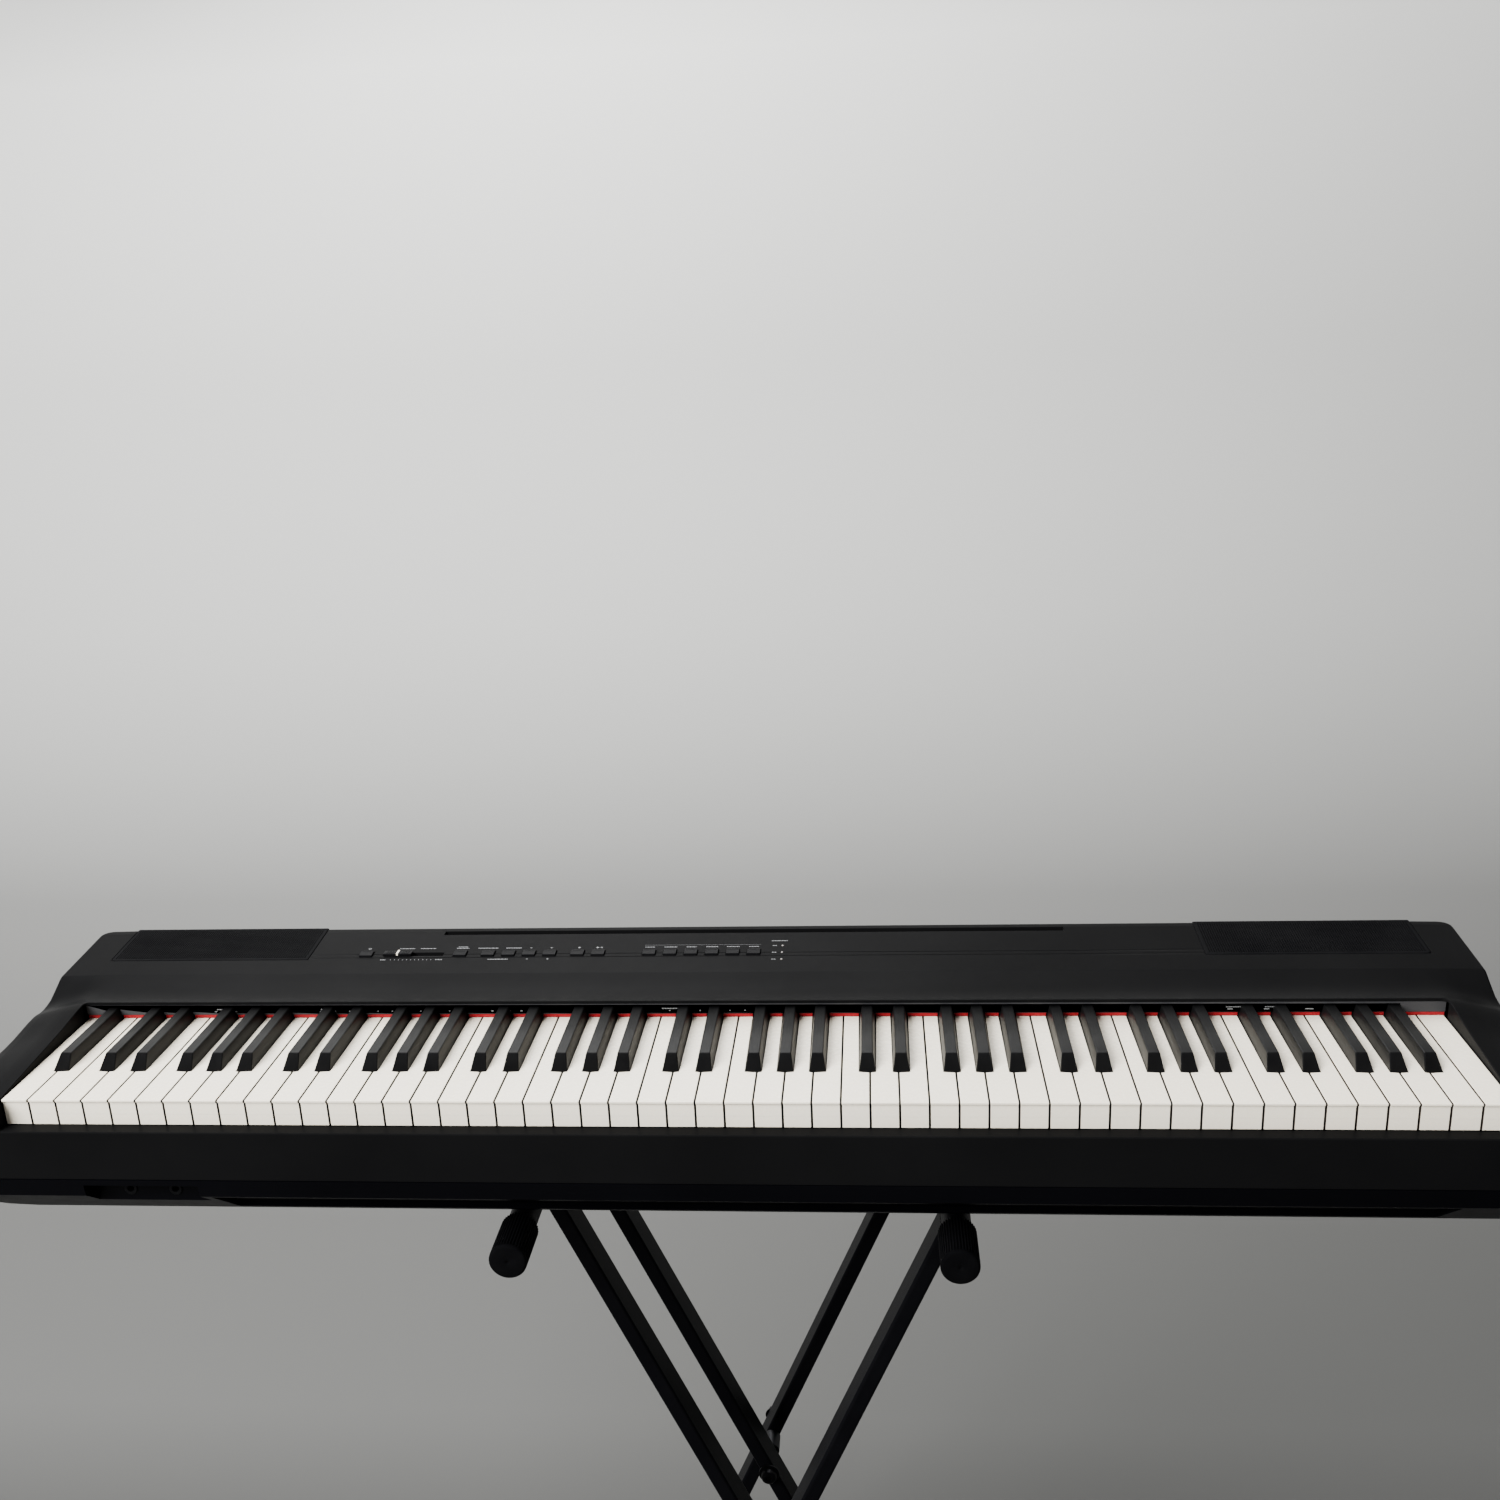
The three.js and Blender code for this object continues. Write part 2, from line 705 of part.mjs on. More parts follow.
// One leg, leaning to the left at its top for lean 1 and to the right for lean -1.
function leg(lean, y) {
  const x = legThickness / 2;
  const z = legDepth / 2;
  const length = 2 * (legReach - armRadius - 0.8);
  const [ix, iz] = [x - tubeWall, z - tubeWall];
  const hole = roundedRect(-ix, ix, -iz, iz, 1.2, THREE.Path);
  const tube = plate(roundedRect(-x, x, -z, z, 2.5), -length / 2, length / 2, [hole], 2);
  const bored = cut(tube, [rod(boltRadius + fitGap, -z - 5, z + 5, 0, 0)]);
  return bored.rotateY(-lean * legAngle).translate(0, y, pivotHeight);
}

function grip(x, end) {
  const inner = armRadius + fitGap;
  const length = gripLength;
  const profile = [
    [0, 0],
    [gripRadius - 1.2, 0],
    [gripRadius, 1.2],
    [gripRadius, length - 3],
    [gripRadius - 2.2, length],
    [inner, length],
    [inner, capEnd],
    [0, capEnd],
  ];
  const sleeve = turned(profile);
  if (end > 0) sleeve.rotateX(Math.PI);
  return sleeve.translate(x, end * (armLength / 2 + capEnd + fitGap), armHeight);
}

function floorCap(x, end) {
  const inner = armRadius + fitGap;
  const profile = [
    [0, 0],
    [floorCapRadius - 1.5, 0],
    [floorCapRadius, 1.5],
    [floorCapRadius, floorCapLength - 2],
    [floorCapRadius - 2, floorCapLength],
    [inner, floorCapLength],
    [inner, capEnd],
    [0, capEnd],
  ];
  const over = floorCapRadius + 5;
  const cap = cut(turned(profile), [block(-over, over, -5, floorCapLength + 5, -over, -barHeight)]);
  if (end > 0) cap.rotateZ(Math.PI);
  return cap.translate(x, end * (floorBarLength / 2 + capEnd + fitGap), barHeight);
}

// The pivot bolt of one pair of legs, with its head, its nut and the collar that spaces the legs.
function pivotBolt(side) {
  const head = innerLegs - legDepth / 2;
  const innerFace = innerLegs + legDepth / 2;
  const outerFace = outerLegs - legDepth / 2;
  const nut = outerLegs + legDepth / 2;
  const collarEnd = side < 0 ? (innerFace + outerFace) / 2 : outerFace - fitGap;
  const collar = side < 0 ? discRadius : collarRadius;
  const profile = [
    [0, head - 9],
    [boltHeadRadius - 1.5, head - 9],
    [boltHeadRadius, head - 7],
    [boltHeadRadius, head - fitGap],
    [boltRadius, head - fitGap],
    [boltRadius, innerFace + fitGap],
    [collar, innerFace + fitGap],
    [collar, collarEnd],
    [boltRadius, collarEnd],
    [boltRadius, nut + fitGap],
    [boltHeadRadius, nut + fitGap],
    [boltHeadRadius, nut + 5],
    [0, nut + 7],
  ];
  const bolt = turned(profile);
  if (side < 0) bolt.rotateZ(Math.PI);
  return bolt.translate(0, 0, pivotHeight);
}

// The toothed disc that locks the front pair of legs, fixed to the outer leg.
function lockDisc() {
  const from = (innerLegs + outerLegs) / 2 + 0.5;
  const to = outerLegs - legDepth / 2 - fitGap;
  const bore = boltRadius + fitGap;
  const profile = [
    [bore, from],
    [discRadius, from],
    [discRadius, to],
    [bore, to],
    [bore, from],
  ];
  return turned(profile).rotateZ(Math.PI).translate(0, 0, pivotHeight);
}

// The knob over the front nut, hollow towards the leg.
function lockKnob() {
  const face = outerLegs + legDepth / 2 + 0.8;
  const hollowRadius = boltHeadRadius + 2;
  const end = face + knobLength;
  const profile = [
    [0, end - 6],
    [hollowRadius, end - 6],
    [hollowRadius, face],
    [knobRadius - 1, face],
    [knobRadius, face + 2],
    [knobRadius, end - 4],
    [knobRadius - 3, end],
    [0, end],
  ];
  return turned(profile).rotateZ(Math.PI).translate(0, 0, pivotHeight);
}

// ---- Assembly ----
function piano() {
  const group = new THREE.Group();
  const under = fallboardTop - caseWall - fitGap;
  const fallboard = notchedStrip(whiteLength + 0.5, whiteLength + 3.5, 4, under);
  const felt = notchedStrip(whiteLength + 3.8, whiteLength + 6, 0.7, under - 0.5);
  group.add(
    node("upper_case", upperCase(), finishes.caseTop),
    node("lower_case", lowerCase(), finishes.caseBase),
    node("fallboard", fallboard, finishes.trim),
    node("felt_strip", felt, finishes.felt),
    node("key_frame", keyFrame(), finishes.trim),
    node("main_board", mainBoard(), finishes.board),
    node("jack_panel", jackPanel(), finishes.trim),
    node("volume_slider", volumeSlider(), finishes.trim),
  );
  [["left", -1], ["right", 1]].forEach(([word, side]) => {
    group.add(
      node("speaker_grille_" + word, grille(side), finishes.mesh),
      node("speaker_" + word, speaker(side), finishes.trim),
    );
  });
  banks.forEach(({ name, first, last }) => {
    group.add(
      node("white_keys_" + name, whiteBank(first, last), finishes.ivory),
      node("black_keys_" + name, blackBank(first, last), finishes.ebony),
    );
  });
  buttonPlaces.forEach(([name, x]) => group.add(node(name, button(x), finishes.trim)));
  group.position.set(0, pianoShift, keyTopHeight);
  return group;
}

function stand() {
  const group = new THREE.Group();
  [["front", -1], ["rear", 1]].forEach(([word, side]) => {
    group.add(
      node("inner_leg_" + word, leg(1, side * innerLegs), finishes.paint),
      node("outer_leg_" + word, leg(-1, side * outerLegs), finishes.paint),
      node("grip_left_" + word, grip(-legSpan, side), finishes.rubber),
      node("grip_right_" + word, grip(legSpan, side), finishes.rubber),
      node("floor_cap_left_" + word, floorCap(-legSpan, side), finishes.rubber),
      node("floor_cap_right_" + word, floorCap(legSpan, side), finishes.rubber),
      node("pivot_bolt_" + word, pivotBolt(side), finishes.steel),
    );
  });
  [["left", -1], ["right", 1]].forEach(([word, side]) => {
    const arm = hollowRod(armRadius, armLength).translate(side * legSpan, 0, armHeight);
    const bar = hollowRod(armRadius, floorBarLength).translate(side * legSpan, 0, barHeight);
    group.add(node("arm_" + word, arm, finishes.paint), node("floor_bar_" + word, bar, finishes.paint));
  });
  group.add(
    node("lock_disc", lockDisc(), finishes.steel),
    node("lock_knob", lockKnob(), finishes.trim),
  );
  return group;
}

const digitalPianoOnStand = new THREE.Group();
digitalPianoOnStand.add(piano(), stand());

export default digitalPianoOnStand;
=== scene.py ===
import bisect
import math

import bmesh
import bpy
from mathutils import Euler, Matrix, Vector


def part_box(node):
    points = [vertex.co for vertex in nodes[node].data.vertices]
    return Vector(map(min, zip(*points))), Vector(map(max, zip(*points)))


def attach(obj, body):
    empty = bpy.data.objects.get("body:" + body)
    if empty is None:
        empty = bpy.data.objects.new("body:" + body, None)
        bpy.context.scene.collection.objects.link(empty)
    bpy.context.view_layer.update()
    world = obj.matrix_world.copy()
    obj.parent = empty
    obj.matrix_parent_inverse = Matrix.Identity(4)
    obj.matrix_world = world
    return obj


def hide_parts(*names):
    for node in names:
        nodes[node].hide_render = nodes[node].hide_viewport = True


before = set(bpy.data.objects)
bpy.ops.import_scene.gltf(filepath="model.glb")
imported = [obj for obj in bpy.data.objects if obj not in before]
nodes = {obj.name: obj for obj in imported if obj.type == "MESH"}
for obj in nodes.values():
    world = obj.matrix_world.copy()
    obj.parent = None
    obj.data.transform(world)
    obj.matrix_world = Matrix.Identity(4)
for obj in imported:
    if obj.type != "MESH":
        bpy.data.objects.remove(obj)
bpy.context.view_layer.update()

scene = bpy.context.scene
print("frame loaded:", len(nodes), "nodes")

# ---- Camera, floor and light ----
view = {
    "place": (0.1266, -1.1872, 1.6292),
    "turn": (72.895, 2.488, 4.459),  # degrees about X, Y and Z
    "lens": 34.41,
}
lighting = {
    "skyColour": (0.86, 0.88, 0.9),
    "skyStrength": 0.1,
    "windowPower": 730,
    "windowPlace": (-2.6, -2.4, 3.6),
    "windowSize": 3.2,
    "fillPower": 14,
    "fillPlace": (1.4, -3.4, 1.7),
    "fillSize": 2.6,
    "topPower": 190,
    "topPlace": (-0.7, 1.5, 3.7),
    "topSize": 3.2,
}
paperSheet = {
    "halfWidth": 9,
    "front": -7,
    "wallPlace": 3.0,
    "wallCurve": 1.5,
    "wallTop": 7,
    "curveSteps": 24,
    # painted shade: the paper darkens towards the right, as if the light fell off that way
    "fade": 0.05,  # how much darker the paper gets with each metre to the right
    "fadeReach": 4,
    # painted light and shade: grey of the paper against distance along it, from the floor in front up to the
    # top of the wall; the bright band high on the wall and the darker floor stand in for how the light falls
    "greys": [
        (-3.4, 0.3), (-1.6, 0.14), (-0.6, 0.03), (0.2, 0.04), (0.6, 0.1), (1.1, 0.105),
        (2.4, 0.19), (3.6, 0.5), (5.3, 0.86), (6.2, 0.3),
    ],
}


def addCamera():
    data = bpy.data.cameras.new("camera")
    data.lens = view["lens"]
    data.sensor_width = 36
    camera = bpy.data.objects.new("camera", data)
    camera.location = view["place"]
    camera.rotation_euler = Euler([math.radians(a) for a in view["turn"]])
    scene.collection.objects.link(camera)
    scene.camera = camera


def addAreaLight(name, mirrored):
    # a round soft light that faces the piano, and shows in glossy surfaces only if mirrored
    data = bpy.data.lights.new(name, "AREA")
    data.energy = lighting[name + "Power"]
    data.shape = "DISK"
    data.size = lighting[name + "Size"]
    lamp = bpy.data.objects.new(name, data)
    lamp.location = lighting[name + "Place"]
    lamp.visible_glossy = mirrored
    lamp.rotation_euler = (Vector((0, 0, 0.95)) - lamp.location).to_track_quat("-Z", "Y").to_euler()
    scene.collection.objects.link(lamp)


def feed(tree, socket, value):
    # gives a socket a constant, or links another socket to it
    if isinstance(value, bpy.types.NodeSocket):
        tree.links.new(value, socket)
    else:
        socket.default_value = value


def newNode(tree, kind, settings=None, **values):
    node = tree.nodes.new(kind)
    for key, value in (settings or {}).items():
        setattr(node, key, value)
    for key, value in values.items():
        feed(tree, node.inputs[key.replace("_", " ")], value)
    return node


def maths(tree, operation, a, b):
    node = newNode(tree, "ShaderNodeMath", {"operation": operation})
    feed(tree, node.inputs[0], a)
    feed(tree, node.inputs[1], b)
    return node.outputs[0]


class Finish:
    # a small helper that builds one material's nodes

    def __init__(self, name):
        self.material = bpy.data.materials.new(name)
        self.material.use_nodes = True
        self.tree = self.material.node_tree
        self.shader = self.tree.nodes["Principled BSDF"]
        self.place = self.add("TexCoord").outputs["Object"]

    def add(self, kind, settings=None, **values):
        return newNode(self.tree, "ShaderNode" + kind, settings, **values)

    def set(self, **values):
        for key, value in values.items():
            feed(self.tree, self.shader.inputs[key.replace("_", " ")], value)

    def noise(self, scale, detail=3.0, roughness=0.55, stretch=None):
        place = self.place
        if stretch:
            place = self.add("Mapping", Vector=place, Scale=stretch).outputs[0]
        return self.add("TexNoise", Vector=place, Scale=scale, Detail=detail, Roughness=roughness).outputs[0]

    def ramp(self, value, stops):
        node = self.add("ValToRGB")
        self.tree.links.new(value, node.inputs[0])
        elements = node.color_ramp.elements
        while len(elements) < len(stops):
            elements.new(0.5)
        for element, (position, colour) in zip(elements, stops):
            element.position = position
            element.color = (*colour, 1)
        return node.outputs[0]

    def spread(self, value, low, high):
        return self.add("MapRange", Value=value, To_Min=low, To_Max=high).outputs[0]

    def bump(self, *layers):
        # layers are (height, distance in metres, strength)
        normal = None
        for height, distance, strength in layers:
            node = self.add("Bump", Height=height, Distance=distance, Strength=strength)
            if normal:
                self.tree.links.new(normal, node.inputs["Normal"])
            normal = node.outputs[0]
        self.set(Normal=normal)


def paperFinish():
    # painted light and shade: the grey follows the paper's own run, given by Y + Z, and darkens towards the
    # right
    finish = Finish("paper")
    parts = finish.add("SeparateXYZ", Vector=finish.place).outputs
    run = maths(finish.tree, "ADD", parts["Y"], parts["Z"])
    start, end = paperSheet["greys"][0][0], paperSheet["greys"][-1][0]
    share = finish.add("MapRange", Value=run, From_Min=start, From_Max=end).outputs[0]
    stops = [((run - start) / (end - start), (grey, grey, grey * 0.97)) for run, grey in paperSheet["greys"]]
    tones = finish.ramp(share, stops)
    reach = paperSheet["fadeReach"]
    change = reach * paperSheet["fade"]
    limits = {"From_Min": -reach, "From_Max": reach, "To_Min": 1 + change, "To_Max": 1 - change}
    fade = finish.add("MapRange", Value=parts["X"], **limits)
    tone = finish.add("VectorMath", {"operation": "SCALE"}, Vector=tones, Scale=fade.outputs[0])
    finish.set(Base_Color=tone.outputs[0], Roughness=0.9, Specular_IOR_Level=0.1)
    return finish.material


def addPaper():
    # a floor that curves up into a wall well behind the piano
    half, wall = paperSheet["halfWidth"], paperSheet["wallPlace"]
    radius, steps = paperSheet["wallCurve"], paperSheet["curveSteps"]
    line = [(paperSheet["front"], 0), (wall - radius, 0)]
    for i in range(1, steps + 1):
        angle = math.radians(90) * i / steps
        line.append((wall - radius + radius * math.sin(angle), radius - radius * math.cos(angle)))
    line.append((wall, paperSheet["wallTop"]))
    bm = bmesh.new()
    columns = [[bm.verts.new((x, y, z)) for y, z in line] for x in (-half, half)]
    for a, b, c, d in zip(columns[0], columns[1], columns[1][1:], columns[0][1:]):
        bm.faces.new((a, b, c, d))
    mesh = bpy.data.meshes.new("paper")
    bm.to_mesh(mesh)
    bm.free()
    for face in mesh.polygons:
        face.use_smooth = True
    mesh.materials.append(paperFinish())
    paper = bpy.data.objects.new("paper", mesh)
    scene.collection.objects.link(paper)


def addSky():
    world = bpy.data.worlds.new("sky")
    world.use_nodes = True
    background = world.node_tree.nodes["Background"]
    background.inputs["Color"].default_value = (*lighting["skyColour"], 1)
    background.inputs["Strength"].default_value = lighting["skyStrength"]
    scene.world = world


addCamera()
addPaper()
addSky()
addAreaLight("window", False)
addAreaLight("fill", False)
addAreaLight("top", True)
print("camera, paper and light placed")

# ---- Materials ----


def mouldedPlastic(name, colour, lighter, roughness, grainScale, grainDepth, shine):
    # fine spark-eroded grain, with slow changes of tone and gloss
    finish = Finish(name)
    slow = finish.noise(7, 4)
    grain = finish.add("TexVoronoi", Vector=finish.place, Scale=grainScale).outputs["Distance"]
    fine = finish.noise(grainScale * 1.7, 2)
    finish.set(
        Base_Color=finish.ramp(slow, [(0.3, colour), (0.7, lighter)]),
        Roughness=finish.spread(finish.noise(60, 5), roughness - 0.05, roughness + 0.07),
        Specular_IOR_Level=shine,
    )
    finish.bump((grain, grainDepth, 0.5), (fine, grainDepth * 0.6, 0.35))
    return finish.material


def ivoryPlastic():
    finish = Finish("ivory_plastic")
    slow = finish.noise(5, 3)
    haze = finish.noise(260, 4)
    finish.set(
        Base_Color=finish.ramp(slow, [(0.3, (0.89, 0.81, 0.66)), (0.72, (0.92, 0.85, 0.71))]),
        Roughness=finish.spread(haze, 0.2, 0.34),
        Coat_Weight=0.25,
        Coat_Roughness=0.12,
        Subsurface_Weight=0.06,
        Subsurface_Radius=(0.004, 0.0035, 0.003),
        Subsurface_Scale=1.0,
    )
    finish.bump((finish.noise(90, 2), 0.00006, 0.25))
    return finish.material


def keyGapShadePlastic():
    # painted shade: the sides of the white keys, much darker than their tops, stand in for the shade in the
    # narrow gaps between keys
    finish = Finish("key_side")
    shadeStreaks = finish.noise(700, 4, 0.6, (1, 1, 6))
    finish.set(
        Base_Color=finish.ramp(shadeStreaks, [(0.3, (0.03, 0.023, 0.02)), (0.7, (0.05, 0.04, 0.035))]),
        Roughness=0.75,
    )
    finish.bump((shadeStreaks, 0.00008, 0.3))
    return finish.material


def ebonyPlastic():
    # satin, with a faint grain along the key
    finish = Finish("ebony_plastic")
    grain = finish.noise(900, 4, 0.6, (1, 0.08, 1))
    finish.set(
        Base_Color=finish.ramp(
            finish.noise(40, 3), [(0.3, (0.0028, 0.0028, 0.003)), (0.7, (0.0045, 0.0045, 0.0047))]
        ),
        Roughness=finish.spread(grain, 0.34, 0.5),
        Specular_IOR_Level=0.1,
    )
    finish.bump((grain, 0.00008, 0.35))
    return finish.material


def redFelt():
    finish = Finish("red_felt")
    fibres = finish.noise(2600, 4, 0.7, (1, 1, 2.2))
    tufts = finish.noise(420, 5, 0.6)
    finish.set(
        Base_Color=finish.ramp(tufts, [(0.25, (0.17, 0.002, 0.006)), (0.75, (0.30, 0.006, 0.012))]),
        Roughness=0.95,
        Sheen_Weight=0.25,
        Sheen_Roughness=0.5,
        Sheen_Tint=(1.0, 0.25, 0.25, 1),
    )
    finish.bump((fibres, 0.0003, 0.6), (tufts, 0.0006, 0.5))
    return finish.material


def powderCoat(name, colour, lighter, roughness, shine):
    finish = Finish(name)
    orangePeel = finish.noise(620, 3, 0.5)
    specks = finish.noise(2400, 2, 0.5)
    finish.set(
        Base_Color=finish.ramp(finish.noise(18, 4), [(0.3, colour), (0.7, lighter)]),
        Roughness=finish.spread(specks, roughness - 0.06, roughness + 0.1),
        Specular_IOR_Level=shine,
    )
    finish.bump((orangePeel, 0.00022, 0.5), (specks, 0.00008, 0.4))
    return finish.material


def blackRubber(name, colour, lighter):
    finish = Finish(name)
    dust = finish.noise(30, 6, 0.7)
    grain = finish.noise(1500, 3, 0.6)
    finish.set(
        Base_Color=finish.ramp(dust, [(0.35, colour), (0.75, lighter)]),
        Roughness=finish.spread(grain, 0.72, 0.9),
        Specular_IOR_Level=0.12,
    )
    finish.bump((grain, 0.0001, 0.6))
    return finish.material


def brushedMetal(name, colour, roughness):
    finish = Finish(name)
    lines = finish.noise(1800, 4, 0.6, (1, 1, 1))
    finish.set(
        Base_Color=finish.ramp(finish.noise(60, 4), [(0.3, colour), (0.7, [c * 1.35 for c in colour])]),
        Metallic=0.95,
        Roughness=finish.spread(lines, roughness - 0.08, roughness + 0.12),
    )
    finish.bump((lines, 0.00004, 0.35))
    return finish.material


def printedInk():
    finish = Finish("printed_ink")
    wear = finish.noise(900, 3)
    finish.set(
        Base_Color=finish.ramp(wear, [(0.25, (0.12, 0.124, 0.128)), (0.6, (0.18, 0.184, 0.188))]),
        Roughness=0.55,
    )
    return finish.material


def lampLens():
    finish = Finish("lamp_lens")
    finish.set(
        Base_Color=finish.ramp(finish.noise(400, 2), [(0.3, (0.16, 0.15, 0.14)), (0.7, (0.24, 0.22, 0.2))]),
        Roughness=0.2,
        Coat_Weight=0.6,
    )
    return finish.material


def greenLacquer():
    finish = Finish("green_lacquer")
    weave = finish.noise(700, 3, 0.5)
    finish.set(
        Base_Color=finish.ramp(weave, [(0.3, (0.012, 0.07, 0.03)), (0.7, (0.02, 0.11, 0.045))]),
        Roughness=0.35,
        Coat_Weight=0.3,
    )
    finish.bump((weave, 0.00005, 0.3))
    return finish.material


def paperCone():
    finish = Finish("paper_cone")
    pulp = finish.noise(500, 6, 0.7)
    finish.set(
        Base_Color=finish.ramp(pulp, [(0.3, (0.012, 0.012, 0.012)), (0.7, (0.03, 0.03, 0.029))]),
        Roughness=0.9,
    )
    finish.bump((pulp, 0.0004, 0.5))
    return finish.material


# material name, colour, lighter colour, roughness, scale and depth of the grain, shine
plastics = {
    "caseTop": ("case_top", (0.0038, 0.0038, 0.004), (0.005, 0.005, 0.0052), 0.34, 1300, 0.00005, 0.012),
    "caseBase": ("case_base", (0.0012, 0.0012, 0.0017), (0.0018, 0.0018, 0.0025), 0.42, 1100, 0.00006, 0.05),
    # painted light: the fallboard is a lighter copy of the black trim, making up for the shade the lip throws
    # on it
    "fallboard": ("fallboard", (0.03, 0.03, 0.032), (0.036, 0.036, 0.038), 0.45, 1500, 0.00005, 0.1),
    "trim": ("trim", (0.003, 0.003, 0.0032), (0.005, 0.005, 0.0053), 0.45, 1500, 0.00005, 0.1),
    "button": ("button", (0.004, 0.004, 0.0045), (0.006, 0.006, 0.0065), 0.4, 1900, 0.00004, 0.03),
}
finishes = {key: mouldedPlastic(values[0] + "_plastic", *values[1:]) for key, values in plastics.items()}
finishes.update({
    "ivory": ivoryPlastic(),
    "keySide": keyGapShadePlastic(),
    "ebony": ebonyPlastic(),
    "felt": redFelt(),
    "mesh": powderCoat("grille_paint", (0.003, 0.003, 0.0034), (0.005, 0.005, 0.0054), 0.5, 0.01),
    "paint": powderCoat("stand_paint", (0.0016, 0.0016, 0.0021), (0.0026, 0.0026, 0.0032), 0.4, 0.05),
    "gripRubber": blackRubber("grip_rubber", (0.0015, 0.0015, 0.0018), (0.0032, 0.0032, 0.0036)),
    "footRubber": blackRubber("foot_rubber", (0.004, 0.004, 0.0045), (0.009, 0.009, 0.0095)),
    "steel": brushedMetal("bolt_steel", (0.012, 0.012, 0.013), 0.42),
    "ink": printedInk(),
    "lamp": lampLens(),
    "board": greenLacquer(),
    "cone": paperCone(),
})
print("materials made:", len(finishes))

# ---- Shared mesh helpers ----
mm = 0.001
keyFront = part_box("white_keys_1")[0].y
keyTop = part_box("white_keys_1")[1].z


def at(x, y, z):
    # a place on the piano, in millimetres from the middle of the keys' front edge
    return Vector((x * mm, keyFront + y * mm, keyTop + z * mm))


def local(point):
    return Vector((point[0] / mm, (point[1] - keyFront) / mm, (point[2] - keyTop) / mm))


def localBox(node):
    low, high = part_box(node)
    return local(low), local(high)


def asMesh(bm, name, sharpAngle=32):
    bmesh.ops.recalc_face_normals(bm, faces=bm.faces)
    mesh = bpy.data.meshes.new(name)
    bm.to_mesh(mesh)
    bm.free()
    smooth(mesh, sharpAngle)
    return mesh


def smooth(mesh, sharpAngle=32):
    for face in mesh.polygons:
        face.use_smooth = True
    mesh.set_sharp_from_angle(angle=math.radians(sharpAngle))


def baked(holder, name):
    # the mesh of an object with its modifiers applied
    graph = bpy.context.evaluated_depsgraph_get()
    result = bpy.data.meshes.new_from_object(
        holder.evaluated_get(graph), preserve_all_data_layers=True, depsgraph=graph
    )
    bpy.data.objects.remove(holder)
    result.name = name
    return result


def linked(name, mesh):
    thing = bpy.data.objects.new(name, mesh)
    scene.collection.objects.link(thing)
    return thing


def shaped(mesh, kind, **settings):
    # the mesh with one modifier applied
    holder = linked("holder", mesh)
    modifier = holder.modifiers.new(kind.lower(), kind)
    for key, value in settings.items():
        setattr(modifier, key, value)
    return baked(holder, mesh.name)


def evened(mesh):
    # flat faces stay flat in the shading beside rounded edges
    return shaped(mesh, "WEIGHTED_NORMAL", keep_sharp=True)


def softened(mesh, width, segments=3, angle=30):
    limit = math.radians(angle)
    result = shaped(mesh, "BEVEL", width=width, segments=segments, angle_limit=limit, limit_method="ANGLE")
    smooth(result, 40)
    return evened(result)


def roundEdges(bm, edges, width, segments=3, **more):
    bmesh.ops.bevel(bm, geom=edges, offset=width * mm, segments=segments, profile=0.5, affect="EDGES", **more)


def bridge(bm, a, b, material=0):
    # a band of faces between two closed rings of corners
    faces = []
    for i in range(len(a)):
        j = (i + 1) % len(a)
        faces.append(bm.faces.new((a[i], a[j], b[j], b[i])))
        faces[-1].material_index = material
    return faces


def piece(name, mesh, body, finishList, replaced=()):
    mesh.name = name
    chosen = [face.material_index for face in mesh.polygons]
    mesh.materials.clear()
    for key in finishList:
        mesh.materials.append(finishes[key])
    mesh.polygons.foreach_set("material_index", chosen)
    thing = linked(name, mesh)
    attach(thing, body)
    if replaced:
        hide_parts(*replaced)


def addBox(bm, low, high, material=0):
    spans = list(zip(low, high))
    v = [bm.verts.new((x, y, z)) for z in spans[2] for y in spans[1] for x in spans[0]]
    sides = [(0, 2, 3, 1), (4, 5, 7, 6), (0, 1, 5, 4), (2, 6, 7, 3), (0, 4, 6, 2), (1, 3, 7, 5)]
    faces = [bm.faces.new([v[i] for i in side]) for side in sides]
    for face in faces:
        face.material_index = material
    return faces


def addPrism(bm, outline, low, high):
    # a flat outline of vectors in the XY plane, raised from one height to another
    lower = [bm.verts.new((p[0], p[1], low)) for p in outline]
    upper = [bm.verts.new((p[0], p[1], high)) for p in outline]
    return [bm.faces.new(upper), bm.faces.new(lower[::-1]), *bridge(bm, lower, upper)]


def addTurned(bm, profile, centre, axis, segments):
    # profile pairs are (radius, place along the axis) in metres, and a radius of 0 closes the end
    def spot(radius, along, angle):
        a, b = radius * math.cos(angle), radius * math.sin(angle)
        offset = {"X": (along, a, b), "Y": (a, along, b), "Z": (a, b, along)}[axis]
        return Vector(centre) + Vector(offset)

    rings = []
    for radius, along in profile:
        if radius < 1e-7:
            rings.append([bm.verts.new(spot(0, along, 0))])
        else:
            angles = [2 * math.pi * i / segments for i in range(segments)]
            rings.append([bm.verts.new(spot(radius, along, angle)) for angle in angles])
    for ring, after in zip(rings, rings[1:]):
        for i in range(segments):
            j = (i + 1) % segments
            corners = [ring[i % len(ring)], ring[j % len(ring)], after[j % len(after)], after[i % len(after)]]
            unique = list(dict.fromkeys(corners))
            if len(unique) > 2:
                bm.faces.new(unique)


def turnedMesh(name, profile, centre, axis, segments, sharpAngle):
    bm = bmesh.new()
    addTurned(bm, profile, centre, axis, segments)
    bmesh.ops.remove_doubles(bm, verts=bm.verts, dist=0.001 * mm)
    return asMesh(bm, name, sharpAngle)


# ---- Geometry Nodes helpers ----


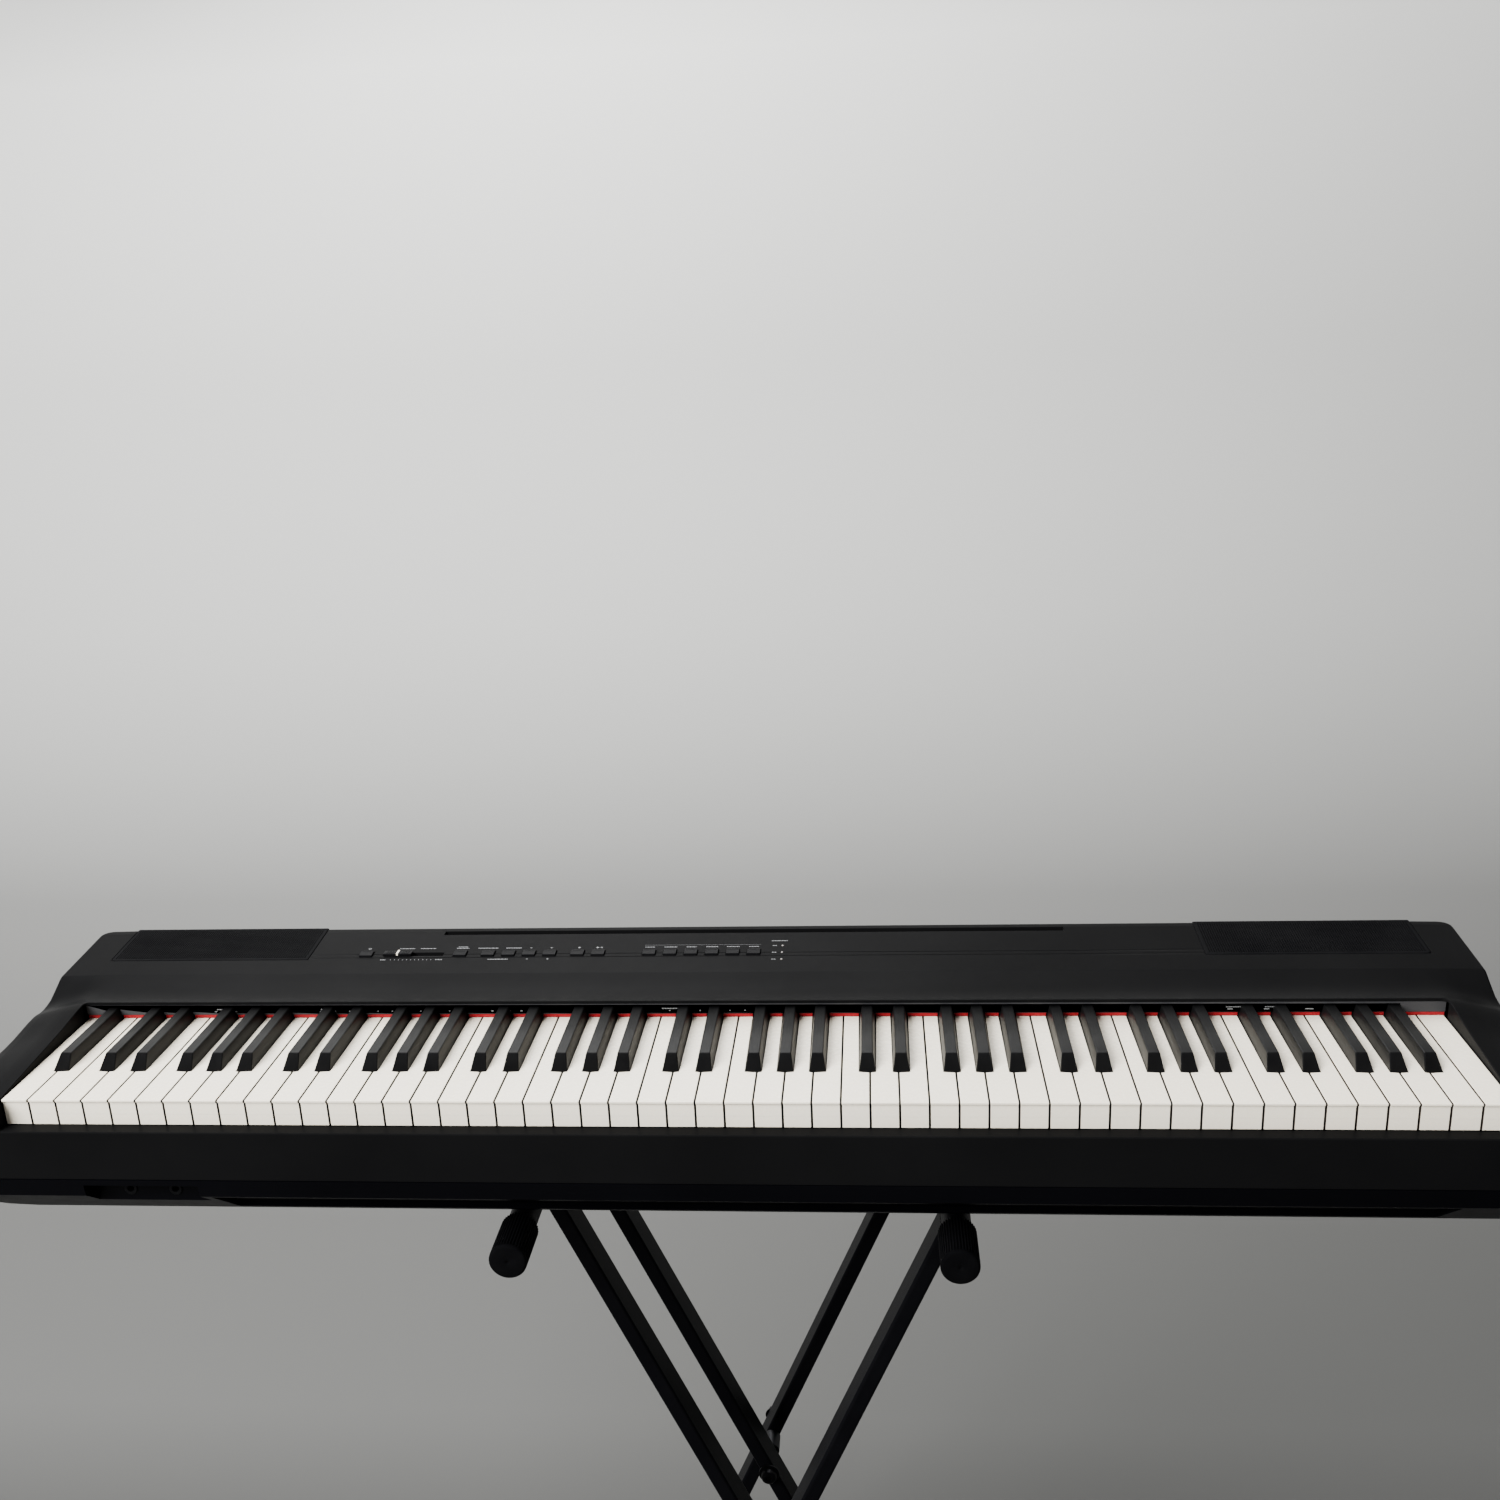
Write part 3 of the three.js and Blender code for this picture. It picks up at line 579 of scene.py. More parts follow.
def newTree(name, inputs):
    tree = bpy.data.node_groups.new(name, "GeometryNodeTree")
    tree.interface.new_socket("Geometry", in_out="INPUT", socket_type="NodeSocketGeometry")
    for label, kind in inputs:
        tree.interface.new_socket(label, in_out="INPUT", socket_type="NodeSocket" + kind)
    tree.interface.new_socket("Geometry", in_out="OUTPUT", socket_type="NodeSocketGeometry")
    return tree


def endTree(tree, geometry, material):
    real = newNode(tree, "GeometryNodeRealizeInstances", Geometry=geometry)
    painted = newNode(tree, "GeometryNodeSetMaterial", Geometry=real.outputs[0], Material=material)
    tree.links.new(painted.outputs[0], tree.nodes.new("NodeGroupOutput").inputs[0])


def bakeTree(tree, base, values, sharpAngle=32):
    # runs a tree on a mesh and returns the result as a plain mesh
    holder = linked("holder", base)
    modifier = holder.modifiers.new("tree", "NODES")
    modifier.node_group = tree
    sockets = {s.name: s for s in tree.interface.items_tree if s.in_out == "INPUT"}
    for label, value in values.items():
        modifier[sockets[label].identifier] = value
    result = baked(holder, "baked")
    smooth(result, sharpAngle)
    return result


def copiesOn(tree, points, instance, **values):
    place = "GeometryNodeInstanceOnPoints"
    return newNode(tree, place, Points=points.outputs[0], Instance=instance, **values).outputs[0]


def endMoved(tree, inputs, geometry, **values):
    # moves the geometry into place, joins it to the base mesh and ends the tree
    moved = newNode(tree, "GeometryNodeTransform", Geometry=geometry, Translation=inputs["Place"], **values)
    both = newNode(tree, "GeometryNodeJoinGeometry")
    tree.links.new(moved.outputs[0], both.inputs[0])
    tree.links.new(inputs["Geometry"], both.inputs[0])
    endTree(tree, both.outputs[0], inputs["Finish"])


def scatterTree():
    # one copy of a small mesh on every point of the base mesh
    tree = newTree("copies_on_points", [("Copy", "Object"), ("Finish", "Material")])
    inputs = tree.nodes.new("NodeGroupInput").outputs
    info = newNode(tree, "GeometryNodeObjectInfo", Object=inputs["Copy"])
    points = newNode(tree, "GeometryNodeMeshToPoints", Mesh=inputs["Geometry"])
    endTree(tree, copiesOn(tree, points, info.outputs["Geometry"]), inputs["Finish"])
    return tree


def sheetTree():
    # a grid of pierced cells, merged into one sheet and tilted into place
    names = [("Cell", "Object"), ("Columns", "Int"), ("Rows", "Int"), ("Pitch", "Float")]
    names += [("Tilt", "Rotation"), ("Place", "Vector"), ("Finish", "Material")]
    tree = newTree("pierced_sheet", names)
    inputs = tree.nodes.new("NodeGroupInput").outputs
    info = newNode(tree, "GeometryNodeObjectInfo", Object=inputs["Cell"])
    columns, rows = inputs["Columns"], inputs["Rows"]
    spans = [maths(tree, "MULTIPLY", maths(tree, "SUBTRACT", n, 1), inputs["Pitch"]) for n in (columns, rows)]
    grid = newNode(
        tree, "GeometryNodeMeshGrid", Size_X=spans[0], Size_Y=spans[1], Vertices_X=columns, Vertices_Y=rows
    )
    points = newNode(tree, "GeometryNodeMeshToPoints", Mesh=grid.outputs[0])
    placed = copiesOn(tree, points, info.outputs["Geometry"])
    real = newNode(tree, "GeometryNodeRealizeInstances", Geometry=placed)
    merged = newNode(tree, "GeometryNodeMergeByDistance", Geometry=real.outputs[0], Distance=0.00001)
    endMoved(tree, inputs, merged.outputs[0], Rotation=inputs["Tilt"])
    return tree


def ribTree():
    # round ribs along +Y, spaced evenly round a sleeve whose axis runs along +Y through the middle
    names = [("Ribs", "Int")]
    names += [(name, "Float") for name in ("Radius", "Rib Radius", "From", "To")]
    tree = newTree("ribbed_sleeve", [*names, ("Place", "Vector"), ("Finish", "Material")])
    inputs = tree.nodes.new("NodeGroupInput").outputs
    start, end = (
        newNode(tree, "ShaderNodeCombineXYZ", X=inputs["Radius"], Y=inputs[label]).outputs[0]
        for label in ("From", "To")
    )
    line = newNode(tree, "GeometryNodeCurvePrimitiveLine", Start=start, End=end)
    section = newNode(tree, "GeometryNodeCurvePrimitiveCircle", Resolution=8, Radius=inputs["Rib Radius"])
    rib = newNode(
        tree,
        "GeometryNodeCurveToMesh",
        Curve=line.outputs[0],
        Profile_Curve=section.outputs[0],
        Fill_Caps=True,
    )
    spots = newNode(tree, "GeometryNodePoints", Count=inputs["Ribs"])
    index = newNode(tree, "GeometryNodeInputIndex").outputs[0]
    angle = maths(tree, "MULTIPLY", maths(tree, "DIVIDE", index, inputs["Ribs"]), 2 * math.pi)
    turn = newNode(tree, "ShaderNodeCombineXYZ", Y=angle)
    endMoved(tree, inputs, copiesOn(tree, spots, rib.outputs[0], Rotation=turn.outputs[0]))
    return tree


def beadTree():
    # a weld: round beads that overlap along the edges of the base mesh
    names = [("Spacing", "Float"), ("Bead Radius", "Float"), ("Seed", "Int"), ("Finish", "Material")]
    tree = newTree("weld_bead", names)
    inputs = tree.nodes.new("NodeGroupInput").outputs
    path = newNode(tree, "GeometryNodeMeshToCurve", Mesh=inputs["Geometry"])
    points = newNode(
        tree, "GeometryNodeCurveToPoints", {"mode": "LENGTH"}, Curve=path.outputs[0], Length=inputs["Spacing"]
    )
    bead = newNode(tree, "GeometryNodeMeshIcoSphere", Radius=inputs["Bead Radius"], Subdivisions=2)
    size = newNode(tree, "FunctionNodeRandomValue", {"data_type": "FLOAT"}, Seed=inputs["Seed"])
    size.inputs[2].default_value = 0.85
    size.inputs[3].default_value = 1.15
    endTree(tree, copiesOn(tree, points, bead.outputs[0], Scale=size.outputs[1]), inputs["Finish"])
    return tree


trees = {
    "scatter": scatterTree(),
    "sheet": sheetTree(),
    "ribs": ribTree(),
    "beads": beadTree(),
}


def pointsMesh(places):
    mesh = bpy.data.meshes.new("points")
    mesh.from_pydata([tuple(p) for p in places], [], [])
    return mesh


print("trees made:", len(trees))

# ---- Sizes of the case that several pieces share, in millimetres ----
upperLow, upperHigh = localBox("upper_case")
lowerLow, lowerHigh = localBox("lower_case")
caseHalf = upperHigh.x
caseFront = upperLow.y
caseRear = upperHigh.y
parting = upperLow.z
rearTop = upperHigh.z
keyboardHalf = -localBox("white_keys_1")[0].x + 0.5
fallboardFront = localBox("fallboard")[0].y
lipEdge = fallboardFront - 0.5
lipHeight = localBox("fallboard")[1].z + 3.3
ridgeBack = caseRear - 87
buttonNodes = [n for n in sorted(nodes) if n.endswith("_button") or n.startswith("voice_button")]


def smoothLine(points):
    # a smooth curve through points that never overshoots them
    xs = [p[0] for p in points]
    ys = [p[1] for p in points]
    slopes = [(ys[i + 1] - ys[i]) / (xs[i + 1] - xs[i]) for i in range(len(xs) - 1)]
    tangents = [slopes[0]]
    for a, b in zip(slopes, slopes[1:]):
        tangents.append(0 if a * b <= 0 else 2 * a * b / (a + b))
    tangents.append(slopes[-1])

    def value(x):
        x = min(max(x, xs[0]), xs[-1])
        i = min(max(bisect.bisect_right(xs, x) - 1, 0), len(slopes) - 1)
        h = xs[i + 1] - xs[i]
        t = (x - xs[i]) / h
        start = (1 + 2 * t) * (1 - t) ** 2 * ys[i] + t * (1 - t) ** 2 * h * tangents[i]
        end = t * t * (3 - 2 * t) * ys[i + 1] + t * t * (t - 1) * h * tangents[i + 1]
        return start + end

    return value


# ---- Upper case ----
caseTop = {
    "bevel": 5.0,  # widest rounding, on the front of the cheeks
    "sideRound": 2.2,
    "openingRound": 0.9,
    "lipRound": 0.7,
    "holeRound": 0.3,
    "ledgeRound": 1.3,
    "rearCorner": 12,
    "openingCorner": 5,
    "grilleCorner": 4.5,
    "holeDepth": 3.5,
    "lipDepth": 2.4,
    "ledgeHeight": -23.4,
    "grooveLines": (223.6, 229.6),
    "grooveDepth": 0.7,
    "grooveHalf": 0.5,
    "slotHalf": 3.0,
}

innerLine = smoothLine([
    (caseFront, -0.8), (caseFront + 5, 0), (47, 6), (100, 11.5), (lipEdge, lipHeight),
    (lipEdge + 6, lipHeight - 1.3), (lipEdge + 14, lipHeight - 2.2), (lipEdge + 23, lipHeight - 2.2),
    (ridgeBack - 18, 16.1), (ridgeBack - 9, 17.9), (ridgeBack - 1, 19.78), (ridgeBack, 20),
    (ridgeBack + 1.2, 20.11), (ridgeBack + 8, 20.75),
    (caseRear - 12, rearTop - 0.47), (caseRear - 7, rearTop), (caseRear, rearTop),
])
fallLine = smoothLine([
    (caseFront, 7), (47, 9), (100, 13), (lipEdge, 13.5), (lipEdge + 22, 10.5),
    (ridgeBack - 12, 4.5), (ridgeBack, 1), (caseRear, 0.8),
])
grilleBoxes = [localBox("speaker_grille_left"), localBox("speaker_grille_right")]


def deckHeight(x, y):
    u = min(max((abs(x) - keyboardHalf) / (caseHalf - keyboardHalf), 0), 1)
    height = innerLine(y) - fallLine(y) * (0.6 * u + 0.4 * u * u)
    inner = grilleBoxes[1][0].x
    if abs(x) <= inner - 1.7:
        for line in caseTop["grooveLines"]:
            if abs(y - line) < 0.01:
                height -= caseTop["grooveDepth"]
    return height


def caseHoles():
    # openings in the deck as x0, x1, y0, y1 and the radius of their corners
    holes = []
    for node in buttonNodes:
        low, high = localBox(node)
        gap = 0.4 - 1.5  # a button's foot is wider than its neck by 1.5
        holes.append((low.x - gap, high.x + gap, low.y - gap, high.y + gap, 0))
    slotLow, slotHigh = localBox("volume_slider")
    middle = (slotLow.y + slotHigh.y) / 2
    half = caseTop["slotHalf"]
    holes.append((slotLow.x + 1, slotHigh.x + 30 - 1, middle - half, middle + half, 0))
    holes.append((-303, 303, caseRear - 15, caseRear - 8.5, 0))
    for low, high in grilleBoxes:
        holes.append((low.x - 0.5, high.x + 0.5, low.y - 0.6, high.y + 0.4, caseTop["grilleCorner"]))
    return holes


def caseTopMesh():
    radius = caseTop["rearCorner"]
    corner = Vector((caseHalf - radius, caseRear - radius))
    holes = caseHoles()
    opening = (-keyboardHalf, keyboardHalf, caseFront, lipEdge, caseTop["openingCorner"])
    xs = {0, -150, 150, -380, 380, -560, 560}
    ys = {caseFront, -4, -0.6, 8, 20, 34, 48, 62, 76, 90, 104, 118, 130, 149, 156, 163, 170, 176, 181}
    ys |= {186, 190, ridgeBack - 1, ridgeBack, ridgeBack + 1.2, 198, 203, 211, 217, 239, 247, 256, 262}
    ys |= {caseRear - radius, caseRear - 4.5, caseRear}
    for side in (-1, 1):
        xs |= {side * (keyboardHalf + d) for d in (0, 5, 12, 21)}
        xs |= {side * (corner.x + d) for d in (0, 2.8, 5.6, 8.4, radius)}
    for x0, x1, y0, y1, r in [*holes, opening]:
        xs |= {x0, x1, x0 + r, x1 - r}
        ys |= {y0, y1, y0 + r, y1 - r}
    for line in caseTop["grooveLines"]:
        ys |= {line - caseTop["grooveHalf"], line, line + caseTop["grooveHalf"]}
    xs = tidyLines(xs)
    ys = tidyLines(y for y in ys if y >= caseFront)
    bm = bmesh.new()
    made = {}
    plan = {}

    def vertex(x, y, z):
        key = (round(x, 2), round(y, 2), round(z, 2))
        if key not in made:
            made[key] = bm.verts.new(at(x, y, z))
        return made[key]

    def top(x, y):
        dx, dy = abs(x) - corner.x, y - corner.y
        px, py = x, y
        if dx > 0 and dy > 0:
            stretch = max(dx, dy) / math.hypot(dx, dy)
            px = math.copysign(corner.x + dx * stretch, x)
            py = corner.y + dy * stretch
        spot = vertex(px, py, deckHeight(px, py))
        plan[spot] = (px, py)
        return spot

    def inside(x, y):
        return any(x0 < x < x1 and y0 < y < y1 for x0, x1, y0, y1, _ in [*holes, opening])

    for x0, x1 in zip(xs, xs[1:]):
        for y0, y1 in zip(ys, ys[1:]):
            if not inside((x0 + x1) / 2, (y0 + y1) / 2):
                bm.faces.new((top(x0, y0), top(x1, y0), top(x1, y1), top(x0, y1)))

    def fillet(x, y, sx, sy, r):
        # fills the corner of a hole that lies towards sx, sy with a round
        arc = []
        for i in range(1, 6):
            angle = math.radians(90) * i / 6
            arc.append(top(x + sx * r * (1 - math.sin(angle)), y + sy * r * (1 - math.cos(angle))))
        bm.faces.new([top(x, y), top(x + sx * r, y), *arc, top(x, y + sy * r)])

    for x0, x1, y0, y1, r in holes:
        if r:
            # only the outer front corner of a grille's hole is round
            fillet(x0 if x0 < 0 else x1, y0, 1 if x0 < 0 else -1, 1, r)
    for side in (-1, 1):
        fillet(side * keyboardHalf, lipEdge, -side, -1, caseTop["openingCorner"])

    weight = bm.edges.layers.float.new("bevel_weight_edge")

    def share(width):
        return width / caseTop["bevel"]

    def outerInset(px, py, inset):
        dx, dy = abs(px) - corner.x, py - corner.y
        if dx > 0 and dy > 0:
            scale = (radius - inset) / math.hypot(dx, dy)
            return math.copysign(corner.x + dx * scale, px), corner.y + dy * scale
        x = math.copysign(min(abs(px), caseHalf - inset), px)
        return x, min(max(py, caseFront + inset), caseRear - inset)

    def wall(a, b, levels):
        # hangs a wall from an edge, level by level; a level is (height or None, drop, inset)
        above = [a, b]
        for height, drop, inset in levels:
            below = []
            for v in (a, b):
                px, py = plan[v]
                z = height if height is not None else local(v.co).z - drop
                x, y = outerInset(px, py, inset) if inset else (px, py)
                below.append(vertex(x, y, z))
            if len({*above, *below}) == 4:
                bm.faces.new((above[0], above[1], below[1], below[0]))
            above = below

    ledge = caseTop["ledgeHeight"]
    outerLevels = [(ledge, 0, 0), (parting + 1.2, 0, 0), (parting, 0, 0.9)]
    for edge in [e for e in bm.edges if len(e.link_faces) == 1]:
        a, b = edge.verts
        mx = (plan[a][0] + plan[b][0]) / 2
        my = (plan[a][1] + plan[b][1]) / 2
        if any(x0 - 0.1 < mx < x1 + 0.1 and y0 - 0.1 < my < y1 + 0.1 for x0, x1, y0, y1, _ in holes):
            edge[weight] = share(caseTop["holeRound"])
            wall(a, b, [(None, caseTop["holeDepth"], 0)])
        elif abs(mx) < keyboardHalf - 0.01 and my < ridgeBack:
            edge[weight] = share(caseTop["lipRound"])
            wall(a, b, [(lipHeight - caseTop["lipDepth"], 0, 0)])
        elif abs(mx) < keyboardHalf + 0.01 and my < ridgeBack:
            edge[weight] = share(caseTop["openingRound"])
            wall(a, b, [(ledge, 0, 0)] if my < -0.6 else [(ledge, 0, 0), (-45, 0, 0)])
        else:
            front = my < caseFront + 0.01
            edge[weight] = 1 if front else share(caseTop["sideRound"])
            wall(a, b, outerLevels)
    ledgeBack = -0.6
    columns = [-keyboardHalf, -keyboardHalf / 2, 0, keyboardHalf / 2, keyboardHalf]
    rows = [y for y in ys if y <= ledgeBack + 0.01]
    for x0, x1 in zip(columns, columns[1:]):
        for y0, y1 in zip(rows, rows[1:]):
            bm.faces.new([vertex(x, y, ledge) for x, y in ((x0, y0), (x1, y0), (x1, y1), (x0, y1))])
        for v in (vertex(x0, caseFront, ledge), vertex(x1, caseFront, ledge)):
            plan[v] = tuple(local(v.co))[:2]
        wall(vertex(x0, caseFront, ledge), vertex(x1, caseFront, ledge), outerLevels[1:])
        for v in (vertex(x0, ledgeBack, ledge), vertex(x1, ledgeBack, ledge)):
            plan[v] = tuple(local(v.co))[:2]
        wall(vertex(x0, ledgeBack, ledge), vertex(x1, ledgeBack, ledge), [(-45, 0, 0)])
        edge = bm.edges.get((vertex(x0, caseFront, ledge), vertex(x1, caseFront, ledge)))
        edge[weight] = share(caseTop["ledgeRound"])
    for edge in bm.edges:
        a, b = (local(v.co) for v in edge.verts)
        upright = (a.xy - b.xy).length < 0.01
        if upright and abs(a.y - caseFront) < 0.01:
            if abs(abs(a.x) - caseHalf) < 0.01:
                edge[weight] = share(4)
            elif abs(abs(a.x) - keyboardHalf) < 0.01 and min(a.z, b.z) > ledge - 0.1:
                edge[weight] = share(1)
    mesh = asMesh(bm, "case_top")
    width = caseTop["bevel"] * mm
    result = shaped(mesh, "BEVEL", limit_method="WEIGHT", width=width, segments=3, use_clamp_overlap=False)
    smooth(result, 40)
    return evened(result)


def tidyLines(values):
    # sorted grid lines, without near doubles
    kept = []
    for value in sorted(values):
        if not kept or value - kept[-1] > 0.02:
            kept.append(value)
    return kept


piece("case_top", caseTopMesh(), "piano", ["caseTop"], ["upper_case"])
print("upper case made")

# ---- Lower case ----
caseBase = {"round": 1.1}


def caseBaseMesh():
    # a copy of the CAD mesh, merged, with its flat faces made whole and its edges rounded
    bm = bmesh.new()
    bm.from_mesh(nodes["lower_case"].data)
    bmesh.ops.remove_doubles(bm, verts=bm.verts, dist=0.02 * mm)
    bmesh.ops.dissolve_limit(bm, angle_limit=math.radians(0.6), verts=bm.verts, edges=bm.edges)
    return softened(asMesh(bm, "case_base"), caseBase["round"] * mm, 2, 28)


piece("case_base", caseBaseMesh(), "piano", ["caseBase"], ["lower_case"])
print("lower case made")

# ---- White keys ----
whiteKey = {
    "count": 52,
    "gap": 1.4,
    "lip": 1.5,  # how far the top overhangs the front
    "topThickness": 2.2,
    "round": 0.5,
    "frontDepth": 24,
    "frontBlock": 20,
    "bodyDepth": 14,
    "sideInset": 0.25,
}
blackKey = {
    "front": 48,
    "width": 14,
    "topWidth": 9.4,
    "rise": 11.5,
    "slope": 11.5,
    "skirt": 12,
    "clearance": 0.8,
    "round": 0.9,
}
keyPitch = 2 * keyboardHalf / whiteKey["count"]
keyBack = localBox("white_keys_1")[1].y
blackEnd = keyBack - 25
blackShift = {0: 3.4, 2: -2.3, 3: 2.3, 5: -3.2, 6: 0}


def blackPlace(line):
    # the middle of the black key on the line before white key number line, or None
    step = (line + 6) % 7
    if not 1 <= line <= whiteKey["count"] - 2 or step not in blackShift:
        return None
    return -keyboardHalf + line * keyPitch + blackShift[step]


def whiteOutline(index, front, inset):
    left = -keyboardHalf + index * keyPitch + whiteKey["gap"] / 2 + inset
    right = -keyboardHalf + (index + 1) * keyPitch - whiteKey["gap"] / 2 - inset
    half = blackKey["width"] / 2 + blackKey["clearance"] + inset
    shoulder = blackKey["front"] - blackKey["clearance"] - inset
    before, after = blackPlace(index), blackPlace(index + 1)
    outline = [(left, front), (right, front)]
    if after is not None:
        outline += [(right, shoulder), (after - half, shoulder), (after - half, keyBack)]
    else:
        outline += [(right, keyBack)]
    if before is not None:
        outline += [(before + half, keyBack), (before + half, shoulder), (left, shoulder)]
    else:
        outline += [(left, keyBack)]
    return outline


def addWhiteKey(bm, index):
    key = whiteKey
    top = [at(x, y, 0) for x, y in whiteOutline(index, 0, 0)]
    faces = addPrism(bm, top, at(0, 0, -key["topThickness"]).z, at(0, 0, 0).z)
    # faces[2] is the front, whose edges are rounded with those of the top
    front = [e for e in faces[2].edges if all(abs(v.co.y - keyFront) < 1e-6 for v in e.verts)]
    roundEdges(bm, list({*faces[0].edges, *front}), key["round"], clamp_overlap=True)
    inset = key["sideInset"]
    outline = whiteOutline(index, key["lip"], inset)
    body = [at(x, y, 0) for x, y in outline]
    addPrism(bm, body, at(0, 0, -key["bodyDepth"]).z, at(0, 0, -key["topThickness"] + 0.05).z)
    (x0, y0), (x1, _) = outline[:2]
    block = addBox(bm, at(x0, y0, -key["frontDepth"]), at(x1, key["frontBlock"], -key["bodyDepth"] + 0.05))
    low = [e for e in block[2].edges if all(v.co.z < at(0, 0, -key["frontDepth"] + 1).z for v in e.verts)]
    roundEdges(bm, low, 0.6, 2)


def addWhiteKeys():
    for bank in range(1, 8):
        node = "white_keys_%d" % bank
        low, high = localBox(node)
        first = round((low.x + keyboardHalf) / keyPitch)
        last = round((high.x + keyboardHalf) / keyPitch) - 1
        bm = bmesh.new()
        for index in range(first, last + 1):
            addWhiteKey(bm, index)
        bm.normal_update()
        # faces that look sideways get painted shade, the dark finish that stands in for the shade between
        # keys
        for face in bm.faces:
            face.material_index = 1 if abs(face.normal.x) > 0.92 else 0
        mesh = evened(asMesh(bm, node, 40))
        piece("white_octave_%d" % bank, mesh, node, ["ivory", "keySide"], [node])


addWhiteKeys()
print("white keys made")


# ---- Black keys ----


def blackKeyMesh():
    key = blackKey
    half, top = key["width"] / 2, key["topWidth"] / 2
    front, rise, back = key["front"], key["rise"], blackEnd

    def corners(y, height, z):
        side = half - (half - top) * height / rise
        return [Vector((-side, y, z)), Vector((side, y, z))]

    def ring(*ends):
        return [bm.verts.new(p * mm) for p in (*corners(*ends[0]), *corners(*ends[1])[::-1])]

    bm = bmesh.new()
    low = ring((front, 0.4, 0.4), (back, 0, 0))
    high = ring((front + key["slope"], rise, rise), (back, rise, rise))
    foot = ring((front, 0.4, -key["skirt"]), (back, 0, -key["skirt"]))
    bm.faces.new(high)
    bm.faces.new(foot[::-1])
    bridge(bm, low, high)
    bridge(bm, foot, low)
    edges = [e for e in bm.edges if any(v in high for v in e.verts)]
    roundEdges(bm, [e for e in edges if any(v.co.y <= (back - 1) * mm for v in e.verts)], key["round"])
    return evened(asMesh(bm, "black_key", 50))


def addBlackKeys():
    key = linked("black_key_template", blackKeyMesh())
    for bank in range(1, 8):
        node = "black_keys_%d" % bank
        low, high = localBox(node)
        lines = range(1, whiteKey["count"])
        places = [x for x in map(blackPlace, lines) if x is not None and low.x < x < high.x]
        origin = at(0, 0, 0)
        points = pointsMesh([origin + Vector((x * mm, 0, 0)) for x in places])
        mesh = bakeTree(trees["scatter"], points, {"Copy": key, "Finish": finishes["ebony"]}, 50)
        piece("black_octave_%d" % bank, mesh, node, ["ebony"], [node])
    bpy.data.objects.remove(key)


addBlackKeys()
print("black keys made")

# ---- Fallboard and felt ----
stripSizes = {"clearance": 0.6, "feltFront": 0.35, "feltTop": 3.7, "feltRound": 0.5}


def notchedOutline(low, high, grow):
    # seen from the front: a strip with a notch that fits round each black key
    half = blackKey["width"] / 2 + grow
    top = blackKey["topWidth"] / 2 + grow
    roof = blackKey["rise"] + grow
    end = keyboardHalf - 0.3
    outline = [(-end, high), (-end, low)]
    for line in range(1, whiteKey["count"]):
        x = blackPlace(line)
        if x is not None:
            slant = (half - top) * max(low, 0) / roof
            outline += [(x - half + slant, low), (x - top, roof), (x + top, roof), (x + half - slant, low)]
    return outline + [(end, low), (end, high)]


def addFallboard():
    low, high = localBox("fallboard")
    outline = notchedOutline(low.z, high.z, stripSizes["clearance"])
    bm = bmesh.new()
    front = [bm.verts.new(at(x, low.y, z)) for x, z in outline]
    back = [bm.verts.new(at(x, high.y, z)) for x, z in outline]
    ends = [bm.faces.new(front), bm.faces.new(back)]
    bridge(bm, front, back)
    bmesh.ops.triangulate(bm, faces=ends)
    mesh = asMesh(bm, "fallboard_strip")
    # its finish is painted light, lighter than the trim to make up for the shade under the lip
    piece("fallboard_strip", mesh, "piano", ["fallboard"], ["fallboard"])


def addFelt():
    # one pad between each pair of black keys, with a soft front edge
    front = fallboardFront + stripSizes["feltFront"]
    low, high = localBox("felt_strip")
    half = blackKey["width"] / 2 + 0.35
    blacks = [x for x in map(blackPlace, range(1, whiteKey["count"])) if x is not None]
    edges = [-keyboardHalf + 0.5, *[v for x in blacks for v in (x - half, x + half)], keyboardHalf - 0.5]
    bm = bmesh.new()
    for x0, x1 in zip(edges[::2], edges[1::2]):
        addBox(bm, at(x0, front, low.z - 0.3), at(x1, high.y, stripSizes["feltTop"]))
    bmesh.ops.subdivide_edges(
        bm,
        edges=[e for e in bm.edges if abs(e.verts[0].co.x - e.verts[1].co.x) > 4 * mm],
        cuts=5,
        use_grid_fill=True,
    )
    mesh = softened(asMesh(bm, "felt_band", 60), stripSizes["feltRound"] * mm, 2, 40)
    texture = bpy.data.textures.new("felt_waves", "CLOUDS")
    texture.noise_scale = 0.006
    mesh = shaped(mesh, "DISPLACE", texture=texture, strength=0.0004, mid_level=0.5, texture_coords="LOCAL")
    smooth(mesh, 60)
    piece("felt_band", mesh, "piano", ["felt"], ["felt_strip"])


addFallboard()
addFelt()
print("fallboard and felt made")

# ---- Speaker grilles and speakers ----
grille = {"pitch": 2.2, "hole": 0.78, "thickness": 0.7, "border": 2.4, "corner": 4.0, "lift": 0.1}


def cellMesh():
    # one square cell of the sheet with a round hole through it
    half = grille["pitch"] / 2 * mm
    radius = grille["hole"] * mm
    square = [(1, 0), (1, 1), (0, 1), (-1, 1), (-1, 0), (-1, -1), (0, -1), (1, -1)]
    turns = [math.radians(45 * i) for i in range(8)]
    bm = bmesh.new()
    top, low = [
        [
            [bm.verts.new((x * half, y * half, z)) for x, y in square],
            [bm.verts.new((radius * math.cos(a), radius * math.sin(a), z)) for a in turns],
        ]
        for z in (0, -grille["thickness"] * mm)
    ]
    bridge(bm, top[0], top[1])
    bridge(bm, low[1], low[0])
    bridge(bm, top[1], low[1])
    mesh = bpy.data.meshes.new("cell")
    bm.to_mesh(mesh)
    bm.free()
    return mesh


